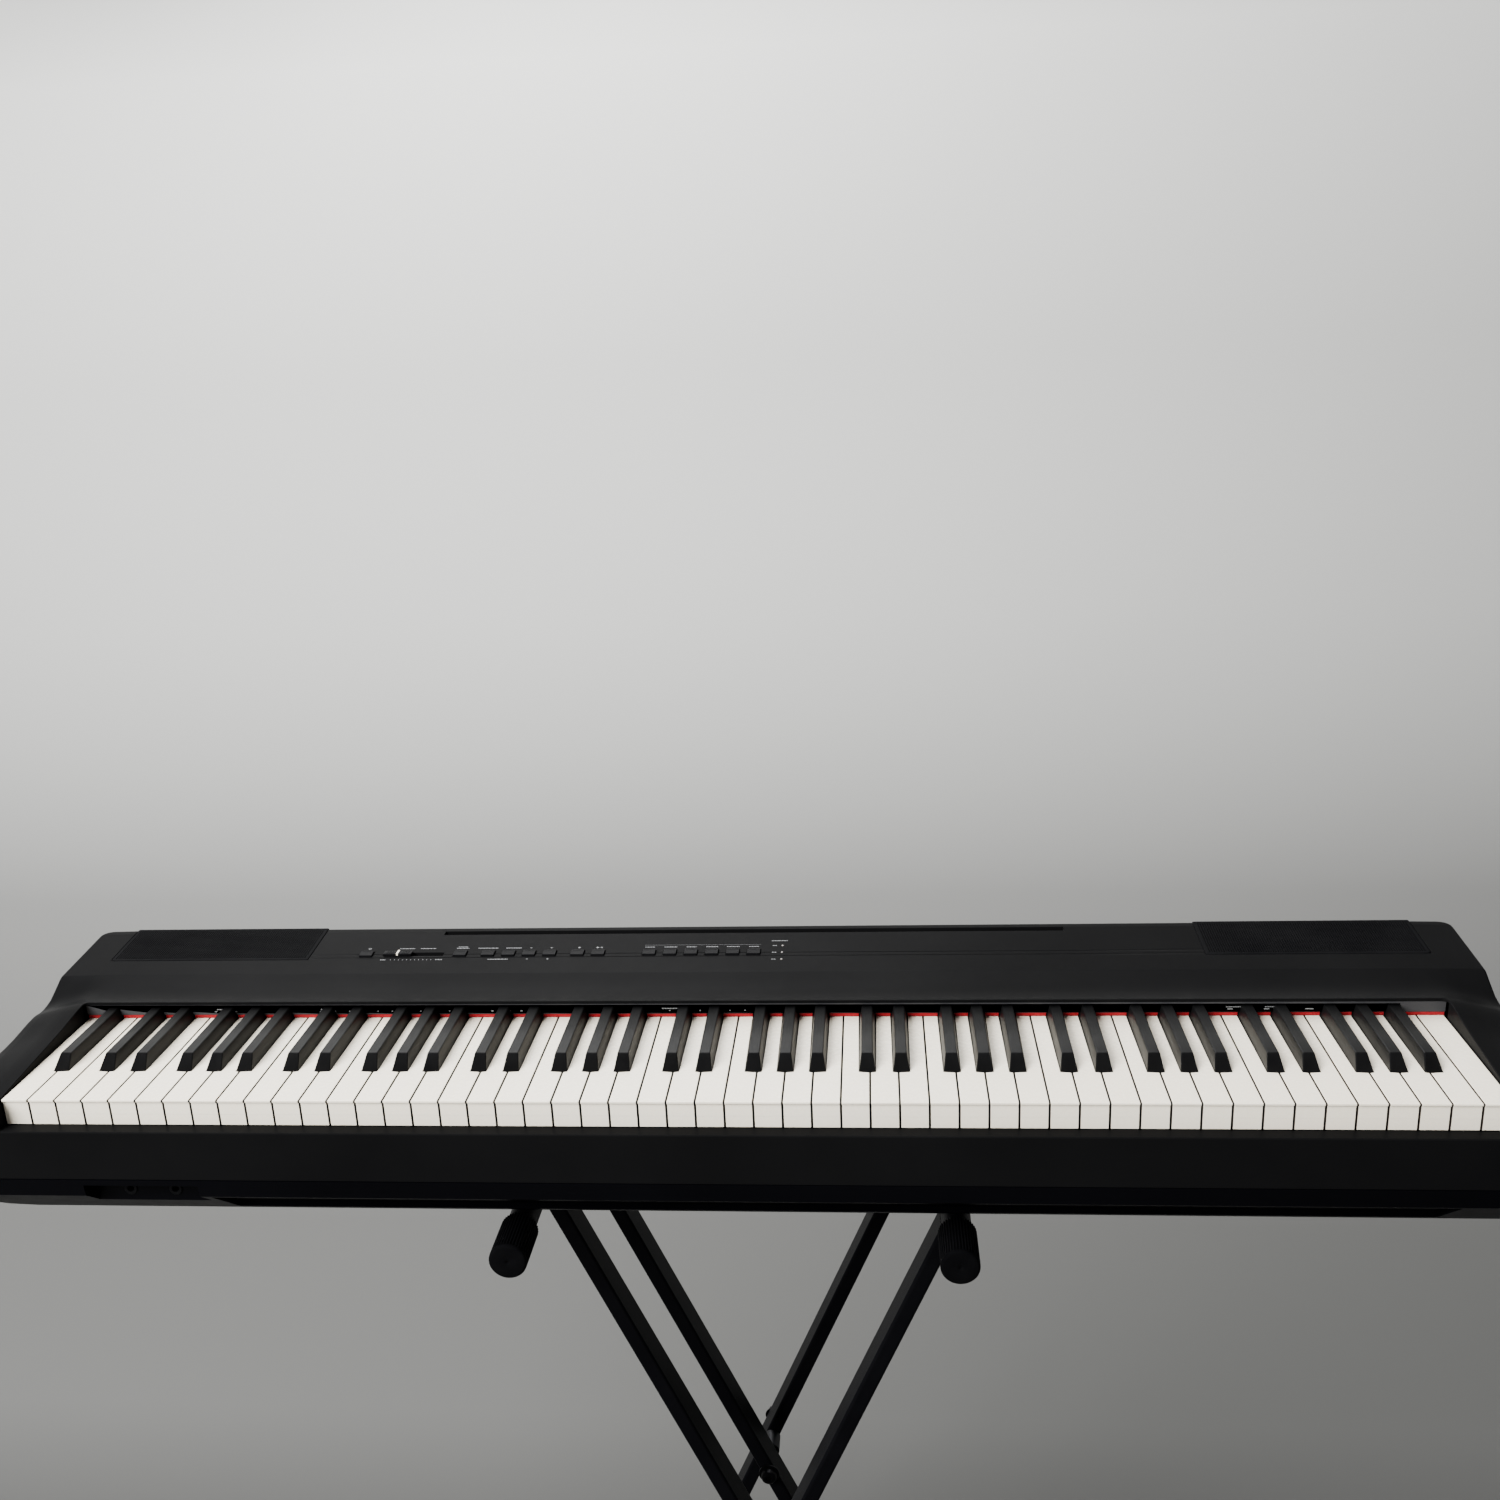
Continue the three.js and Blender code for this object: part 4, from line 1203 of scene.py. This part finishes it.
def roundedOutline(halfX, halfY, radii, steps=6):
    outline = []
    for index, (sx, sy) in enumerate([(1, 1), (-1, 1), (-1, -1), (1, -1)]):
        radius = radii[index]
        for i in range(steps + 1):
            angle = math.radians(90) * (index + i / steps)
            outline.append((
                sx * (halfX - radius) + radius * math.cos(angle),
                sy * (halfY - radius) + radius * math.sin(angle),
            ))
    return outline


def addGrille(side, cell):
    name = "left" if side < 0 else "right"
    low, high = localBox("speaker_grille_" + name)
    high.y = caseRear + 0.2  # the sheet laps over the rear edge of the case
    middle = (low + high) / 2
    tilt = math.atan2(innerLine(middle.y + 10) - innerLine(middle.y - 10), 20)
    halfX = (high.x - low.x) / 2
    halfY = (high.y - low.y) / 2 / math.cos(tilt)
    lift = innerLine(middle.y) + grille["lift"]
    pitch = grille["pitch"]
    columns = int((2 * (halfX - grille["border"])) / pitch)
    rows = int((2 * (halfY - grille["border"])) / pitch)
    # the plain rim round the pierced field
    radius = grille["corner"]
    outer = roundedOutline(halfX, halfY, (1, 1, radius, 1) if side < 0 else (1, 1, 1, radius))
    field = (columns * pitch / 2, rows * pitch / 2)
    inner = [
        (math.copysign(min(abs(x), field[0]), x), math.copysign(min(abs(y), field[1]), y)) for x, y in outer
    ]
    bm = bmesh.new()
    turn = Matrix.Rotation(tilt, 4, "X")
    centre = at(middle.x, middle.y, lift)

    def spot(p, z):
        return bm.verts.new(centre + turn @ Vector((p[0] * mm, p[1] * mm, z * mm)))

    edge = 0.6
    hem = [(x * (1 - edge / halfX), y * (1 - edge / halfY)) for x, y in outer]
    loops = [
        [spot(p, -3.5) for p in outer],
        [spot(p, -edge) for p in outer],
        [spot(p, 0) for p in hem],
        [spot(p, 0) for p in inner],
        [spot(p, -grille["thickness"]) for p in inner],
    ]
    for a, b in zip(loops, loops[1:]):
        bridge(bm, a, b)
    bmesh.ops.remove_doubles(bm, verts=bm.verts, dist=0.00001)
    rim = asMesh(bm, "rim")
    values = {
        "Cell": cell,
        "Columns": columns,
        "Rows": rows,
        "Pitch": pitch * mm,
        "Tilt": Euler((tilt, 0, 0)),
        "Place": centre,
        "Finish": finishes["mesh"],
    }
    mesh = bakeTree(trees["sheet"], rim, values, 32)
    piece("grille_" + name, mesh, "piano", ["mesh"], ["speaker_grille_" + name])


def addSpeaker(side):
    name = "left" if side < 0 else "right"
    low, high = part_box("speaker_" + name)
    centre = (low + high) / 2
    centre.z = high.z
    radius = (high.x - low.x) / 2
    profile = [
        (0, -0.034), (0.017, -0.034), (0.018, -0.033), (0.018, -0.022), (0.021, -0.02),
        (radius - 0.004, -0.003), (radius, -0.003), (radius, -0.0004), (radius - 0.001, 0),
        (radius - 0.004, 0), (radius - 0.006, -0.0005), (radius - 0.0085, 0.0005), (radius - 0.011, -0.001),
        (0.014, -0.012), (0.0135, -0.0125), (0.012, -0.0095), (0.008, -0.0075), (0.004, -0.0066),
        (0, -0.0064),
    ]
    mesh = turnedMesh("speaker", profile, centre, "Z", 56, 50)
    piece("speaker_unit_" + name, mesh, "piano", ["cone"], ["speaker_" + name])


pierced = linked("cell_template", cellMesh())
for side in (-1, 1):
    addGrille(side, pierced)
    addSpeaker(side)
bpy.data.objects.remove(pierced)
print("grilles and speakers made")

# ---- Buttons and slider ----
control = {"foot": 1.5, "round": 0.45, "dish": 0.25, "knobRise": 2.2, "lineWidth": 1.8}


def addButtons():
    for node in buttonNodes:
        low, high = localBox(node)
        x0, x1 = low.x + control["foot"], high.x - control["foot"]
        y0, y1 = low.y + control["foot"], high.y - control["foot"]
        bm = bmesh.new()
        slope = (deckHeight(x0, y1) - deckHeight(x0, y0)) / (y1 - y0)
        faces = addBox(bm, at(x0, y0, low.z), at(x1, y1, high.z))
        middle = (y0 + y1) / 2
        upper = faces[1]
        for v in upper.verts:
            v.co.z = at(0, 0, high.z + (local(v.co).y - middle) * slope).z
        roundEdges(bm, [e for e in bm.edges if any(v in upper.verts for v in e.verts)], control["round"])
        top = max(bm.faces, key=lambda f: f.calc_center_median().z)
        bmesh.ops.inset_region(bm, faces=[top], thickness=2.2 * mm)
        bmesh.ops.translate(bm, verts=top.verts, vec=(0, 0, -control["dish"] * mm))
        addBox(bm, at(low.x, low.y, low.z), at(high.x, high.y, low.z + 1.5))
        mesh = evened(asMesh(bm, node, 40))
        piece(node.replace("_button", "") + "_cap", mesh, node, ["button"], [node])


def addSlider():
    low, high = localBox("volume_slider")
    x0, x1 = low.x + 2, high.x - 2
    middle = (low.y + high.y) / 2
    centre = (x0 + x1) / 2
    deck = deckHeight(centre, middle)
    half = 3.8
    bm = bmesh.new()
    foot = deck + 0.15
    cap = addBox(bm, at(x0, middle - half, foot), at(x1, middle + half, foot + control["knobRise"]))
    roundEdges(bm, list({e for f in cap for e in f.edges}), 0.55)
    # two finger ridges on each side of the index line
    top = deck + 0.1 + control["knobRise"]
    for offset in (-10, -7.6, -5.2, 5.2, 7.6, 10):
        x = centre + offset
        addBox(bm, at(x - 0.5, middle - 3, top), at(x + 0.5, middle + 3, top + 0.45))
    half = control["lineWidth"] / 2
    addBox(bm, at(centre - half, middle - 3.85, deck + 0.6), at(centre + half, middle + 3.85, top + 0.5), 1)
    stem = caseTop["slotHalf"] - 0.5
    addBox(bm, at(x0 + 3, middle - stem, low.z + 2), at(x1 - 3, middle + stem, deck + 0.5))
    addBox(bm, at(low.x, low.y, low.z), at(high.x, high.y, low.z + 2))
    mesh = asMesh(bm, "volume_knob", 40)
    piece("volume_knob", mesh, "volume_slider", ["button", "ivory"], ["volume_slider"])
    # the dark trough under the slot
    bm = bmesh.new()
    slot = caseTop["slotHalf"]
    floor = low.z - 1.2
    for y in (middle - slot - 3, middle + slot + 2.4):
        addBox(bm, at(low.x - 3, y, floor), at(high.x + 33, y + 0.6, floor + 4.4))
    addBox(bm, at(low.x - 3, middle - slot - 3, floor - 0.6), at(high.x + 33, middle + slot + 3, floor))
    piece("slider_trough", asMesh(bm, "slider_trough"), "piano", ["trim"])
    bm = bmesh.new()
    rest = caseRear - 11.5
    depth = deckHeight(0, rest) - 16
    addBox(bm, at(-306, rest - 6, depth - 0.8), at(306, rest + 6, depth))
    for y in (rest - 6.2, rest + 5.4):
        addBox(bm, at(-306, y, depth - 0.8), at(306, y + 0.8, deckHeight(0, rest) - 3.6))
    for x in (-306, 305.2):
        addBox(bm, at(x, rest - 6, depth - 0.8), at(x + 0.8, rest + 6, deckHeight(0, rest) - 3.6))
    piece("rest_trough", asMesh(bm, "rest_trough"), "piano", ["trim"])


addButtons()
addSlider()
print("controls made")

# ---- Printed marks: plain dashes, dots, ticks and signs ----
marks = {
    "thickness": 0.06,
    "letterHeight": 1.1,
    "letterWidths": (1.0, 0.7, 1.3, 0.8, 1.1),  # blocks that stand for letters
    "letterGap": 0.45,
    "above": 10.6,  # from the middle of the buttons to the marks behind them
    "below": -10.2,
}


def addDeckMark(bm, x0, x1, y0, y1):
    t = marks["thickness"]
    corners = [(x0, y0), (x1, y0), (x1, y1), (x0, y1)]
    low = [bm.verts.new(at(x, y, deckHeight(x, y) - 0.02)) for x, y in corners]
    high = [bm.verts.new(at(x, y, deckHeight(x, y) + t)) for x, y in corners]
    bm.faces.new(high)
    bm.faces.new(low[::-1])
    bridge(bm, low, high)


def addDeckDisc(bm, x, y, radius, hole=0, points=20):
    t = marks["thickness"]

    def ring(r, lift):
        out = []
        for i in range(points):
            angle = 2 * math.pi * i / points
            px, py = x + r * math.cos(angle), y + r * math.sin(angle)
            out.append(bm.verts.new(at(px, py, deckHeight(px, py) + lift)))
        return out

    outer, lower = ring(radius, t), ring(radius, -0.02)
    bridge(bm, lower, outer)
    if hole:
        inner, base = ring(hole, t), ring(hole, -0.02)
        bridge(bm, outer, inner)
        bridge(bm, inner, base)
        bridge(bm, base, lower)
    else:
        bm.faces.new(outer)
        bm.faces.new(lower[::-1])


def middleOf(node):
    low, high = localBox(node)
    return (low.x + high.x) / 2


def wordBlocks(x, length):
    # places a line of small blocks, like a word too small to read, with its middle at x
    blocks = []
    start = x - length / 2
    count = 0
    while start < x + length / 2 - 0.5:
        width = marks["letterWidths"][count % len(marks["letterWidths"])]
        blocks.append((start, min(start + width, x + length / 2)))
        start += width + marks["letterGap"]
        count += 1
    return blocks


def addPanelMarks():
    bm = bmesh.new()
    low, high = localBox("power_button")
    row = (low.y + high.y) / 2
    above, below = row + marks["above"], row + marks["below"]
    half = marks["letterHeight"] / 2

    def word(x, y, length):
        for x0, x1 in wordBlocks(x, length):
            addDeckMark(bm, x0, x1, y - half, y + half)

    power = middleOf("power_button")
    addDeckDisc(bm, power, above, 1.4, 0.95)
    sliderX = middleOf("volume_slider") + 15
    word(sliderX - 9, above, 15)
    word(sliderX + 12, above, 15)
    for i in range(11):
        addDeckMark(bm, sliderX - 20 + i * 4, sliderX - 19.6 + i * 4, below - 0.8, below + 0.8)
    word(sliderX - 27, below, 6)
    word(sliderX + 28, below, 7)
    word(middleOf("demo_button"), above, 12)
    word(middleOf("demo_button"), above + 2.6, 10)
    word(middleOf("metronome_button") - 2, above, 20)
    word(middleOf("rhythm_button") + 3, above, 15)
    word((middleOf("metronome_button") + middleOf("rhythm_button")) / 2 + 2, below, 20)
    down, up = middleOf("tempo_down_button"), middleOf("tempo_up_button")
    for x, y in ((down, above), (up, above), (down, below), (up, below)):
        addDeckMark(bm, x - 1.1, x + 1.1, y - 0.25, y + 0.25)
    for y in (above, below):
        addDeckMark(bm, up - 0.25, up + 0.25, y - 1.1, y + 1.1)
    addDeckDisc(bm, middleOf("record_button"), above, 1.1)
    play = middleOf("play_button")
    for i in range(5):
        # a small triangle that points right
        x, reach = play - 3 + i * 0.5, 1.2 - i * 0.24
        addDeckMark(bm, x, x + 0.5, above - reach, above + reach)
    for x in (play + 1, play + 2.2):
        addDeckMark(bm, x, x + 0.5, above - 1.1, above + 1.1)
    for i, length in enumerate((10, 13, 10, 12, 13, 10)):
        word(middleOf("voice_button_%d" % (i + 1)), above, length)
    first, last = middleOf("voice_button_1"), middleOf("voice_button_6")
    addDeckMark(bm, first - 6, last + 6, above + 3.6, above + 3.72)
    word(32, row + 21, 16)
    lampRows = (row + 12, row - 0.5, row - 13)
    for y in lampRows:
        word(27.5, y, 4)
    piece("panel_marks", asMesh(bm, "panel_marks"), "piano", ["ink"])
    bm = bmesh.new()
    for y in lampRows:
        deck = at(35, y, deckHeight(35, y))
        addTurned(bm, [(0.0011, -0.0006), (0.0011, 0.0002), (0.0008, 0.0005), (0, 0.0006)], deck, "Z", 20)
    piece("tempo_lamps", asMesh(bm, "tempo_lamps", 60), "piano", ["lamp"])


def addFallboardMarks():
    # small signs on the strip behind the keys
    # words are (middle, length), and ticks are (first, spacing, how many, width)
    bm = bmesh.new()
    y = fallboardFront - 0.06
    high = localBox("fallboard")[1].z
    words = [(-479, 11), (-381, 9), (-60, 18), (436, 19), (466, 13)]
    ticks = [(-486, 16, 2, 2.2), (-470, 0, 1, 8), (-386, 0, 1, 1.6), (-372, 13.4, 9, 0.9), (-225, 27, 2, 2)]
    ticks += [(-211.5, 0, 1, 8), (-62, 0, 1, 1.2), (-48, 13.5, 5, 1.0), (430, 14, 2, 4.5), (461, 14, 2, 4.5)]
    ticks += [(497, 0, 1, 7)]
    for x, length in words:
        for x0, x1 in wordBlocks(x, length):
            addBox(bm, at(x0, y, high - 5.0), at(x1, y + 0.1, high - 4.1))
    for first, spacing, count, width in ticks:
        for i in range(count):
            x = first + spacing * i
            addBox(bm, at(x - width / 2, y, high - 7.0), at(x + width / 2, y + 0.1, high - 6.2))
    piece("fallboard_marks", asMesh(bm, "fallboard_marks"), "piano", ["ink"])


addPanelMarks()
addFallboardMarks()
print("marks made")

# ---- Stand ----
stand = {
    "legWidth": 15,
    "legRound": 2.6,
    "legInto": 7.0,  # how far a leg reaches into its arm and floor bar
    "bead": 1.7,
    "beadSpacing": 1.5,
    "ribs": 40,
    "ribRadius": 0.75,
}
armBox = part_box("arm_left")
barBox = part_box("floor_bar_left")
armMiddle = (armBox[0] + armBox[1]) / 2
barMiddle = (barBox[0] + barBox[1]) / 2
armRadius = (armBox[1].z - armBox[0].z) / 2
pivotHeight = (armMiddle.z + barMiddle.z) / 2
legRise = (armMiddle.z - barMiddle.z) / 2
legSpan = -armMiddle.x
legAngle = math.atan2(legSpan, legRise)
legLength = math.hypot(legSpan, legRise)


def legFrame(node):
    # the matrix that stands a leg along its own length, and its half sizes
    low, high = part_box(node)
    lean = -1 if node.startswith("inner") else 1  # an inner leg's top leans to the left
    y = (low.y + high.y) / 2
    turn = Matrix.Rotation(lean * legAngle, 4, "Y")
    return Matrix.Translation((0, y, pivotHeight)) @ turn, (high.y - low.y) / 2


def addLeg(node):
    place, halfDepth = legFrame(node)
    halfWidth = stand["legWidth"] / 2 * mm
    reach = legLength - armRadius + stand["legInto"] * mm
    bm = bmesh.new()
    addBox(bm, (-halfWidth, -halfDepth, -reach), (halfWidth, halfDepth, reach))
    upright = [e for e in bm.edges if abs(e.verts[0].co.z - e.verts[1].co.z) > 0.1]
    roundEdges(bm, upright, stand["legRound"], 5)
    bm.transform(place)
    mesh = evened(asMesh(bm, node, 40))
    body = "inner_frame" if node.startswith("inner") else "outer_frame"
    piece(node.replace("leg", "tube"), mesh, body, ["paint"], [node])
    return place, halfWidth, halfDepth, body


def weldPath(place, halfWidth, halfDepth, end):
    # where the leg's skin meets the round arm or floor bar
    grow = 0.4 * mm
    radius = armRadius + grow
    outline = roundedOutline((halfWidth + grow) / mm, (halfDepth + grow) / mm, [stand["legRound"]] * 4, 4)
    points = []
    for x, y in outline:
        depth = math.sqrt(max(radius ** 2 - (x * mm) ** 2, 0))
        points.append(place @ Vector((x * mm, y * mm, end * (legLength - depth))))
    return points


def addWelds(legs):
    for body in ("inner_frame", "outer_frame"):
        places, edges = [], []
        for place, halfWidth, halfDepth, owner in legs:
            if owner != body:
                continue
            for end in (-1, 1):
                path = weldPath(place, halfWidth, halfDepth, end)
                start = len(places)
                places += [tuple(p) for p in path]
                edges += [(start + i, start + (i + 1) % len(path)) for i in range(len(path))]
        base = bpy.data.meshes.new("weld_path")
        base.from_pydata(places, edges, [])
        values = {
            "Spacing": stand["beadSpacing"] * mm,
            "Bead Radius": stand["bead"] * mm,
            "Seed": 4,
            "Finish": finishes["paint"],
        }
        mesh = bakeTree(trees["beads"], base, values, 80)
        piece("welds_" + body, mesh, body, ["paint"])


def addTube(node, name, body):
    low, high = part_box(node)
    middle = (low + high) / 2
    middle.y = 0
    radius = (high.z - low.z) / 2
    inner, edge = radius - 0.0015, 0.0003
    profile = [
        (inner, low.y), (radius - edge, low.y), (radius, low.y + edge), (radius, high.y - edge),
        (radius - edge, high.y), (inner, high.y), (inner, low.y),
    ]
    mesh = turnedMesh(name, profile, middle, "Y", 56, 40)
    piece(name, mesh, body, ["paint"], [node])


def ribbed(base, count, radius, ribRadius, ends, place, finishKey, sharpAngle):
    # a turned mesh with round ribs along it, between two places on its axis
    values = {
        "Ribs": count,
        "Radius": radius,
        "Rib Radius": ribRadius,
        "From": min(ends),
        "To": max(ends),
        "Place": place,
        "Finish": finishes[finishKey],
    }
    return bakeTree(trees["ribs"], base, values, sharpAngle)


def addSleeve(node, name, body, finishKey, flat):
    # a ribbed rubber sleeve over a tube's end, closed by a face with a small dimple
    low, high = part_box(node)
    radius = (high.x - low.x) / 2
    outward = -1 if low.y + high.y < 0 else 1
    length = high.y - low.y
    rib = stand["ribRadius"] * mm
    core = radius - rib * 0.75
    inner = armRadius + 0.0003
    wall = 0.003
    profile = [
        (0, 0.0012), (0.0011, 0.0010), (0.0019, 0.0002), (0.0026, 0), (radius - 0.0024, 0),
        (radius - 0.0008, 0.0005), (radius, 0.0016), (radius, 0.0034), (core, 0.0042),
        (core, length - 0.0045), (radius - 0.001, length - 0.003), (radius - 0.0018, length - 0.0008),
        (radius - 0.0026, length), (inner, length), (inner, wall), (0, wall),
    ]
    tip = low.y if outward < 0 else high.y
    placed = [(r, tip - outward * a) for r, a in profile][::-outward]
    centre = Vector(((low.x + high.x) / 2, 0, barMiddle.z if flat else armMiddle.z))
    base = turnedMesh(name, placed, centre, "Y", 64, 50)
    ends = (tip - outward * 0.0030, tip - outward * (length - 0.0038))
    mesh = ribbed(base, stand["ribs"], core, rib, ends, centre, finishKey, 50)
    if flat:
        # the underside is worn flat where it stands
        for v in mesh.vertices:
            v.co.z = max(v.co.z, 0)
    piece(name, mesh, body, [finishKey], [node])


legs = [addLeg(n) for n in ("inner_leg_front", "inner_leg_rear", "outer_leg_front", "outer_leg_rear")]
addWelds(legs)
for side in ("left", "right"):
    armBody, barBody = ("inner_frame", "outer_frame") if side == "left" else ("outer_frame", "inner_frame")
    addTube("arm_" + side, "arm_tube_" + side, armBody)
    addTube("floor_bar_" + side, "floor_tube_" + side, barBody)
    for end in ("front", "rear"):
        tail = "%s_%s" % (side, end)
        addSleeve("grip_" + tail, "arm_sleeve_" + tail, armBody, "gripRubber", False)
        addSleeve("floor_cap_" + tail, "foot_sleeve_" + tail, barBody, "footRubber", True)
print("stand frames made")

# ---- Pivot: bolts, lock disc and knob ----


def addBolt(end):
    # a button-head bolt with a washer, the spacer collar between the legs, and a lock nut
    node = "pivot_bolt_" + end
    low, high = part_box(node)
    front = end == "front"
    s = -1 if front else 1  # the nut is towards -Y at the front, and the other way at the rear
    headEnd, nutEnd = (high.y, low.y) if front else (low.y, high.y)
    legIn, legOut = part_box("inner_leg_" + end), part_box("outer_leg_" + end)
    headFace, collarFace = (legIn[1].y, legIn[0].y) if front else (legIn[0].y, legIn[1].y)
    outerFace, nutFace = (legOut[1].y, legOut[0].y) if front else (legOut[0].y, legOut[1].y)
    collarEnd = (collarFace + outerFace) / 2 if front else outerFace - s * 0.0003
    collar = (high.x - low.x) / 2
    shank, washer, head = 0.005, 0.011, 0.008
    profile = [
        (0, headEnd + s * 0.0022), (0.0034, headEnd + s * 0.0022), (0.0036, headEnd), (0.0055, headEnd),
        (0.0073, headEnd + s * 0.0012), (head, headEnd + s * 0.003), (head, headFace - s * 0.0018),
        (washer - 0.0005, headFace - s * 0.0018), (washer, headFace - s * 0.0013),
        (washer, headFace - s * 0.0002), (shank, headFace - s * 0.0002), (shank, collarFace + s * 0.0003),
        (collar - 0.001, collarFace + s * 0.0003), (collar, collarFace + s * 0.0012),
        (collar, collarEnd - s * 0.0009), (collar - 0.001, collarEnd), (shank, collarEnd),
        (shank, nutFace + s * 0.0003), (0.0095, nutFace + s * 0.0003), (0.0095, nutFace + s * 0.0014),
        (shank, nutFace + s * 0.0014), (shank, nutEnd - s * 0.0005), (0, nutEnd),
    ]
    bm = bmesh.new()
    addTurned(bm, profile, Vector((0, 0, pivotHeight)), "Y", 40)
    turns = [math.radians(60 * i) for i in range(6)]
    nut = 0.0082
    rings = [
        [bm.verts.new((nut * math.cos(a), y, pivotHeight + nut * math.sin(a))) for a in turns]
        for y in (nutFace + s * 0.0014, nutFace + s * 0.0062)
    ]
    bm.faces.new(rings[0])
    bm.faces.new(rings[1][::-1])
    bridge(bm, *rings)
    name = "pivot_bolt_set_" + end
    mesh = softened(asMesh(bm, name, 35), 0.0003, 2, 50)
    piece(name, mesh, "inner_frame", ["steel"], [node])


def addLockDisc():
    low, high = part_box("lock_disc")
    pivot = Vector((0, 0, pivotHeight))
    radius = (high.x - low.x) / 2
    bore, edge = 0.0053, radius - 0.0008
    profile = [
        (bore, low.y), (radius - 0.0015, low.y), (edge, low.y + 0.0006), (edge, high.y - 0.0006),
        (radius - 0.0015, high.y), (bore, high.y), (bore, low.y),
    ]
    base = turnedMesh("disc", profile, pivot, "Y", 60, 40)
    ends = (low.y + 0.0004, high.y - 0.0004)
    mesh = ribbed(base, 36, radius - 0.0009, 0.0009, ends, pivot, "steel", 40)
    piece("toothed_disc", mesh, "outer_frame", ["steel"], ["lock_disc"])


def addLockKnob():
    low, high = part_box("lock_knob")
    pivot = Vector((0, 0, pivotHeight))
    radius = (high.x - low.x) / 2
    near, far = high.y, low.y  # the knob's open end is towards the leg
    core, bore = radius - 0.0022, 0.0102
    profile = [
        (0, far + 0.0008), (0.006, far + 0.0008), (0.0068, far), (core - 0.003, far),
        (core - 0.0008, far + 0.0009), (core, far + 0.003), (core, near - 0.003),
        (radius - 0.0008, near - 0.0026), (radius, near - 0.0018), (radius, near - 0.0006),
        (radius - 0.0006, near), (bore, near), (bore, far + 0.006), (0, far + 0.006),
    ]
    base = turnedMesh("knob", profile, pivot, "Y", 64, 40)
    mesh = ribbed(base, 18, core, 0.002, (far + 0.0028, near - 0.002), pivot, "button", 50)
    piece("fluted_knob", mesh, "lock_knob", ["button"], ["lock_knob"])


addBolt("front")
addBolt("rear")
addLockDisc()
addLockKnob()
print("pivot made")

# ---- Sockets, screws and feet of the case ----
fittings = {
    "screwRadius": 3.2,
    "footRadius": 11,
    "footHeight": 4.5,
    "jackPlaces": (-516, -476),
    "jackBack": 8,
    "jackDrop": 21,  # below the parting line
    "jackDepth": 21,
    "rearJacks": (28, 64),  # from the panel's end
}


def addSocket(bm, place, outward, bore, nut):
    # a threaded ring nut and the dark sleeve of a jack, facing along outward * Y
    profile = [
        (bore, 0.012), (bore, -0.0008), (bore + 0.0004, -0.0012), (nut - 0.0006, -0.0012), (nut, -0.0006),
        (nut, 0.0004), (nut - 0.0004, 0.0006), (bore + 0.0008, 0.0006), (bore + 0.0008, 0.012), (bore, 0.012),
    ]
    addTurned(bm, [(r, -outward * a) for r, a in profile], place, "Y", 36)


def addSockets():
    low, high = localBox("jack_panel")
    back, height = fittings["jackBack"], parting - fittings["jackDrop"]
    bm = bmesh.new()
    for x in fittings["jackPlaces"]:
        addSocket(bm, at(x, back, height), -1, 0.0031, 0.0058)
    for x in fittings["rearJacks"]:
        addSocket(bm, at(low.x + x, high.y, (low.z + high.z) / 2), 1, 0.0029, 0.0054)
    bmesh.ops.remove_doubles(bm, verts=bm.verts, dist=0.001 * mm)
    piece("socket_rings", asMesh(bm, "socket_rings", 40), "piano", ["button"])
    bm = bmesh.new()
    disc = [(0, 0), (0.0036, 0), (0.0036, 0.0008), (0, 0.0008)]
    for x in fittings["jackPlaces"]:
        addTurned(bm, disc, at(x, back + fittings["jackDepth"], height), "Y", 24)
    piece("socket_backs", asMesh(bm, "socket_backs", 40), "piano", ["trim"])


def screwMesh():
    # a pan head with a cross recess, looking down
    radius = fittings["screwRadius"] * mm
    bm = bmesh.new()
    profile = [(radius, 0.0004), (radius, -0.0006), (radius * 0.85, -0.0014), (0, -0.0019)]
    addTurned(bm, profile, (0, 0, 0), "Z", 20)
    bm.faces.new([v for v in bm.verts if v.co.z > 0.0003])
    for angle in (0, 90):
        block = addBox(bm, (-radius * 0.55, -0.0004, -0.00205), (radius * 0.55, 0.0004, -0.0016), 1)
        spin = Matrix.Rotation(math.radians(angle), 3, "Z")
        bmesh.ops.rotate(bm, verts=list({v for f in block for v in f.verts}), cent=(0, 0, 0), matrix=spin)
    return asMesh(bm, "screw", 40)


def scattered(mesh, places, finishKey):
    # copies of a small mesh on the underside of the case, at its finish
    copy = linked("copy", mesh)
    points = pointsMesh([at(x, y, lowerLow.z) for x, y in places])
    result = bakeTree(trees["scatter"], points, {"Copy": copy, "Finish": finishes[finishKey]}, 40)
    bpy.data.objects.remove(copy)
    return result


def addUnderside():
    places = [(x, y) for x in range(-600, 601, 150) for y in (62, 168, 258)]
    piece("case_screws", scattered(screwMesh(), places, "steel"), "piano", ["steel"])
    radius = fittings["footRadius"] * mm
    height = fittings["footHeight"] * mm
    profile = [(0, 0.0005), (radius, 0.0005), (radius, -height * 0.7), (radius * 0.86, -height), (0, -height)]
    foot = turnedMesh("foot", profile, (0, 0, 0), "Z", 32, 40)
    places = [(x, y) for x in (-560, -380, 380, 560) for y in (78, 246)]
    piece("case_feet", scattered(foot, places, "footRubber"), "piano", ["footRubber"])


addSockets()
addUnderside()
print("fittings made")

# ---- CAD nodes that stay as they are ----
for node, key in (("key_frame", "trim"), ("main_board", "board"), ("jack_panel", "trim")):
    mesh = nodes[node].data
    mesh.materials.clear()
    mesh.materials.append(finishes[key])
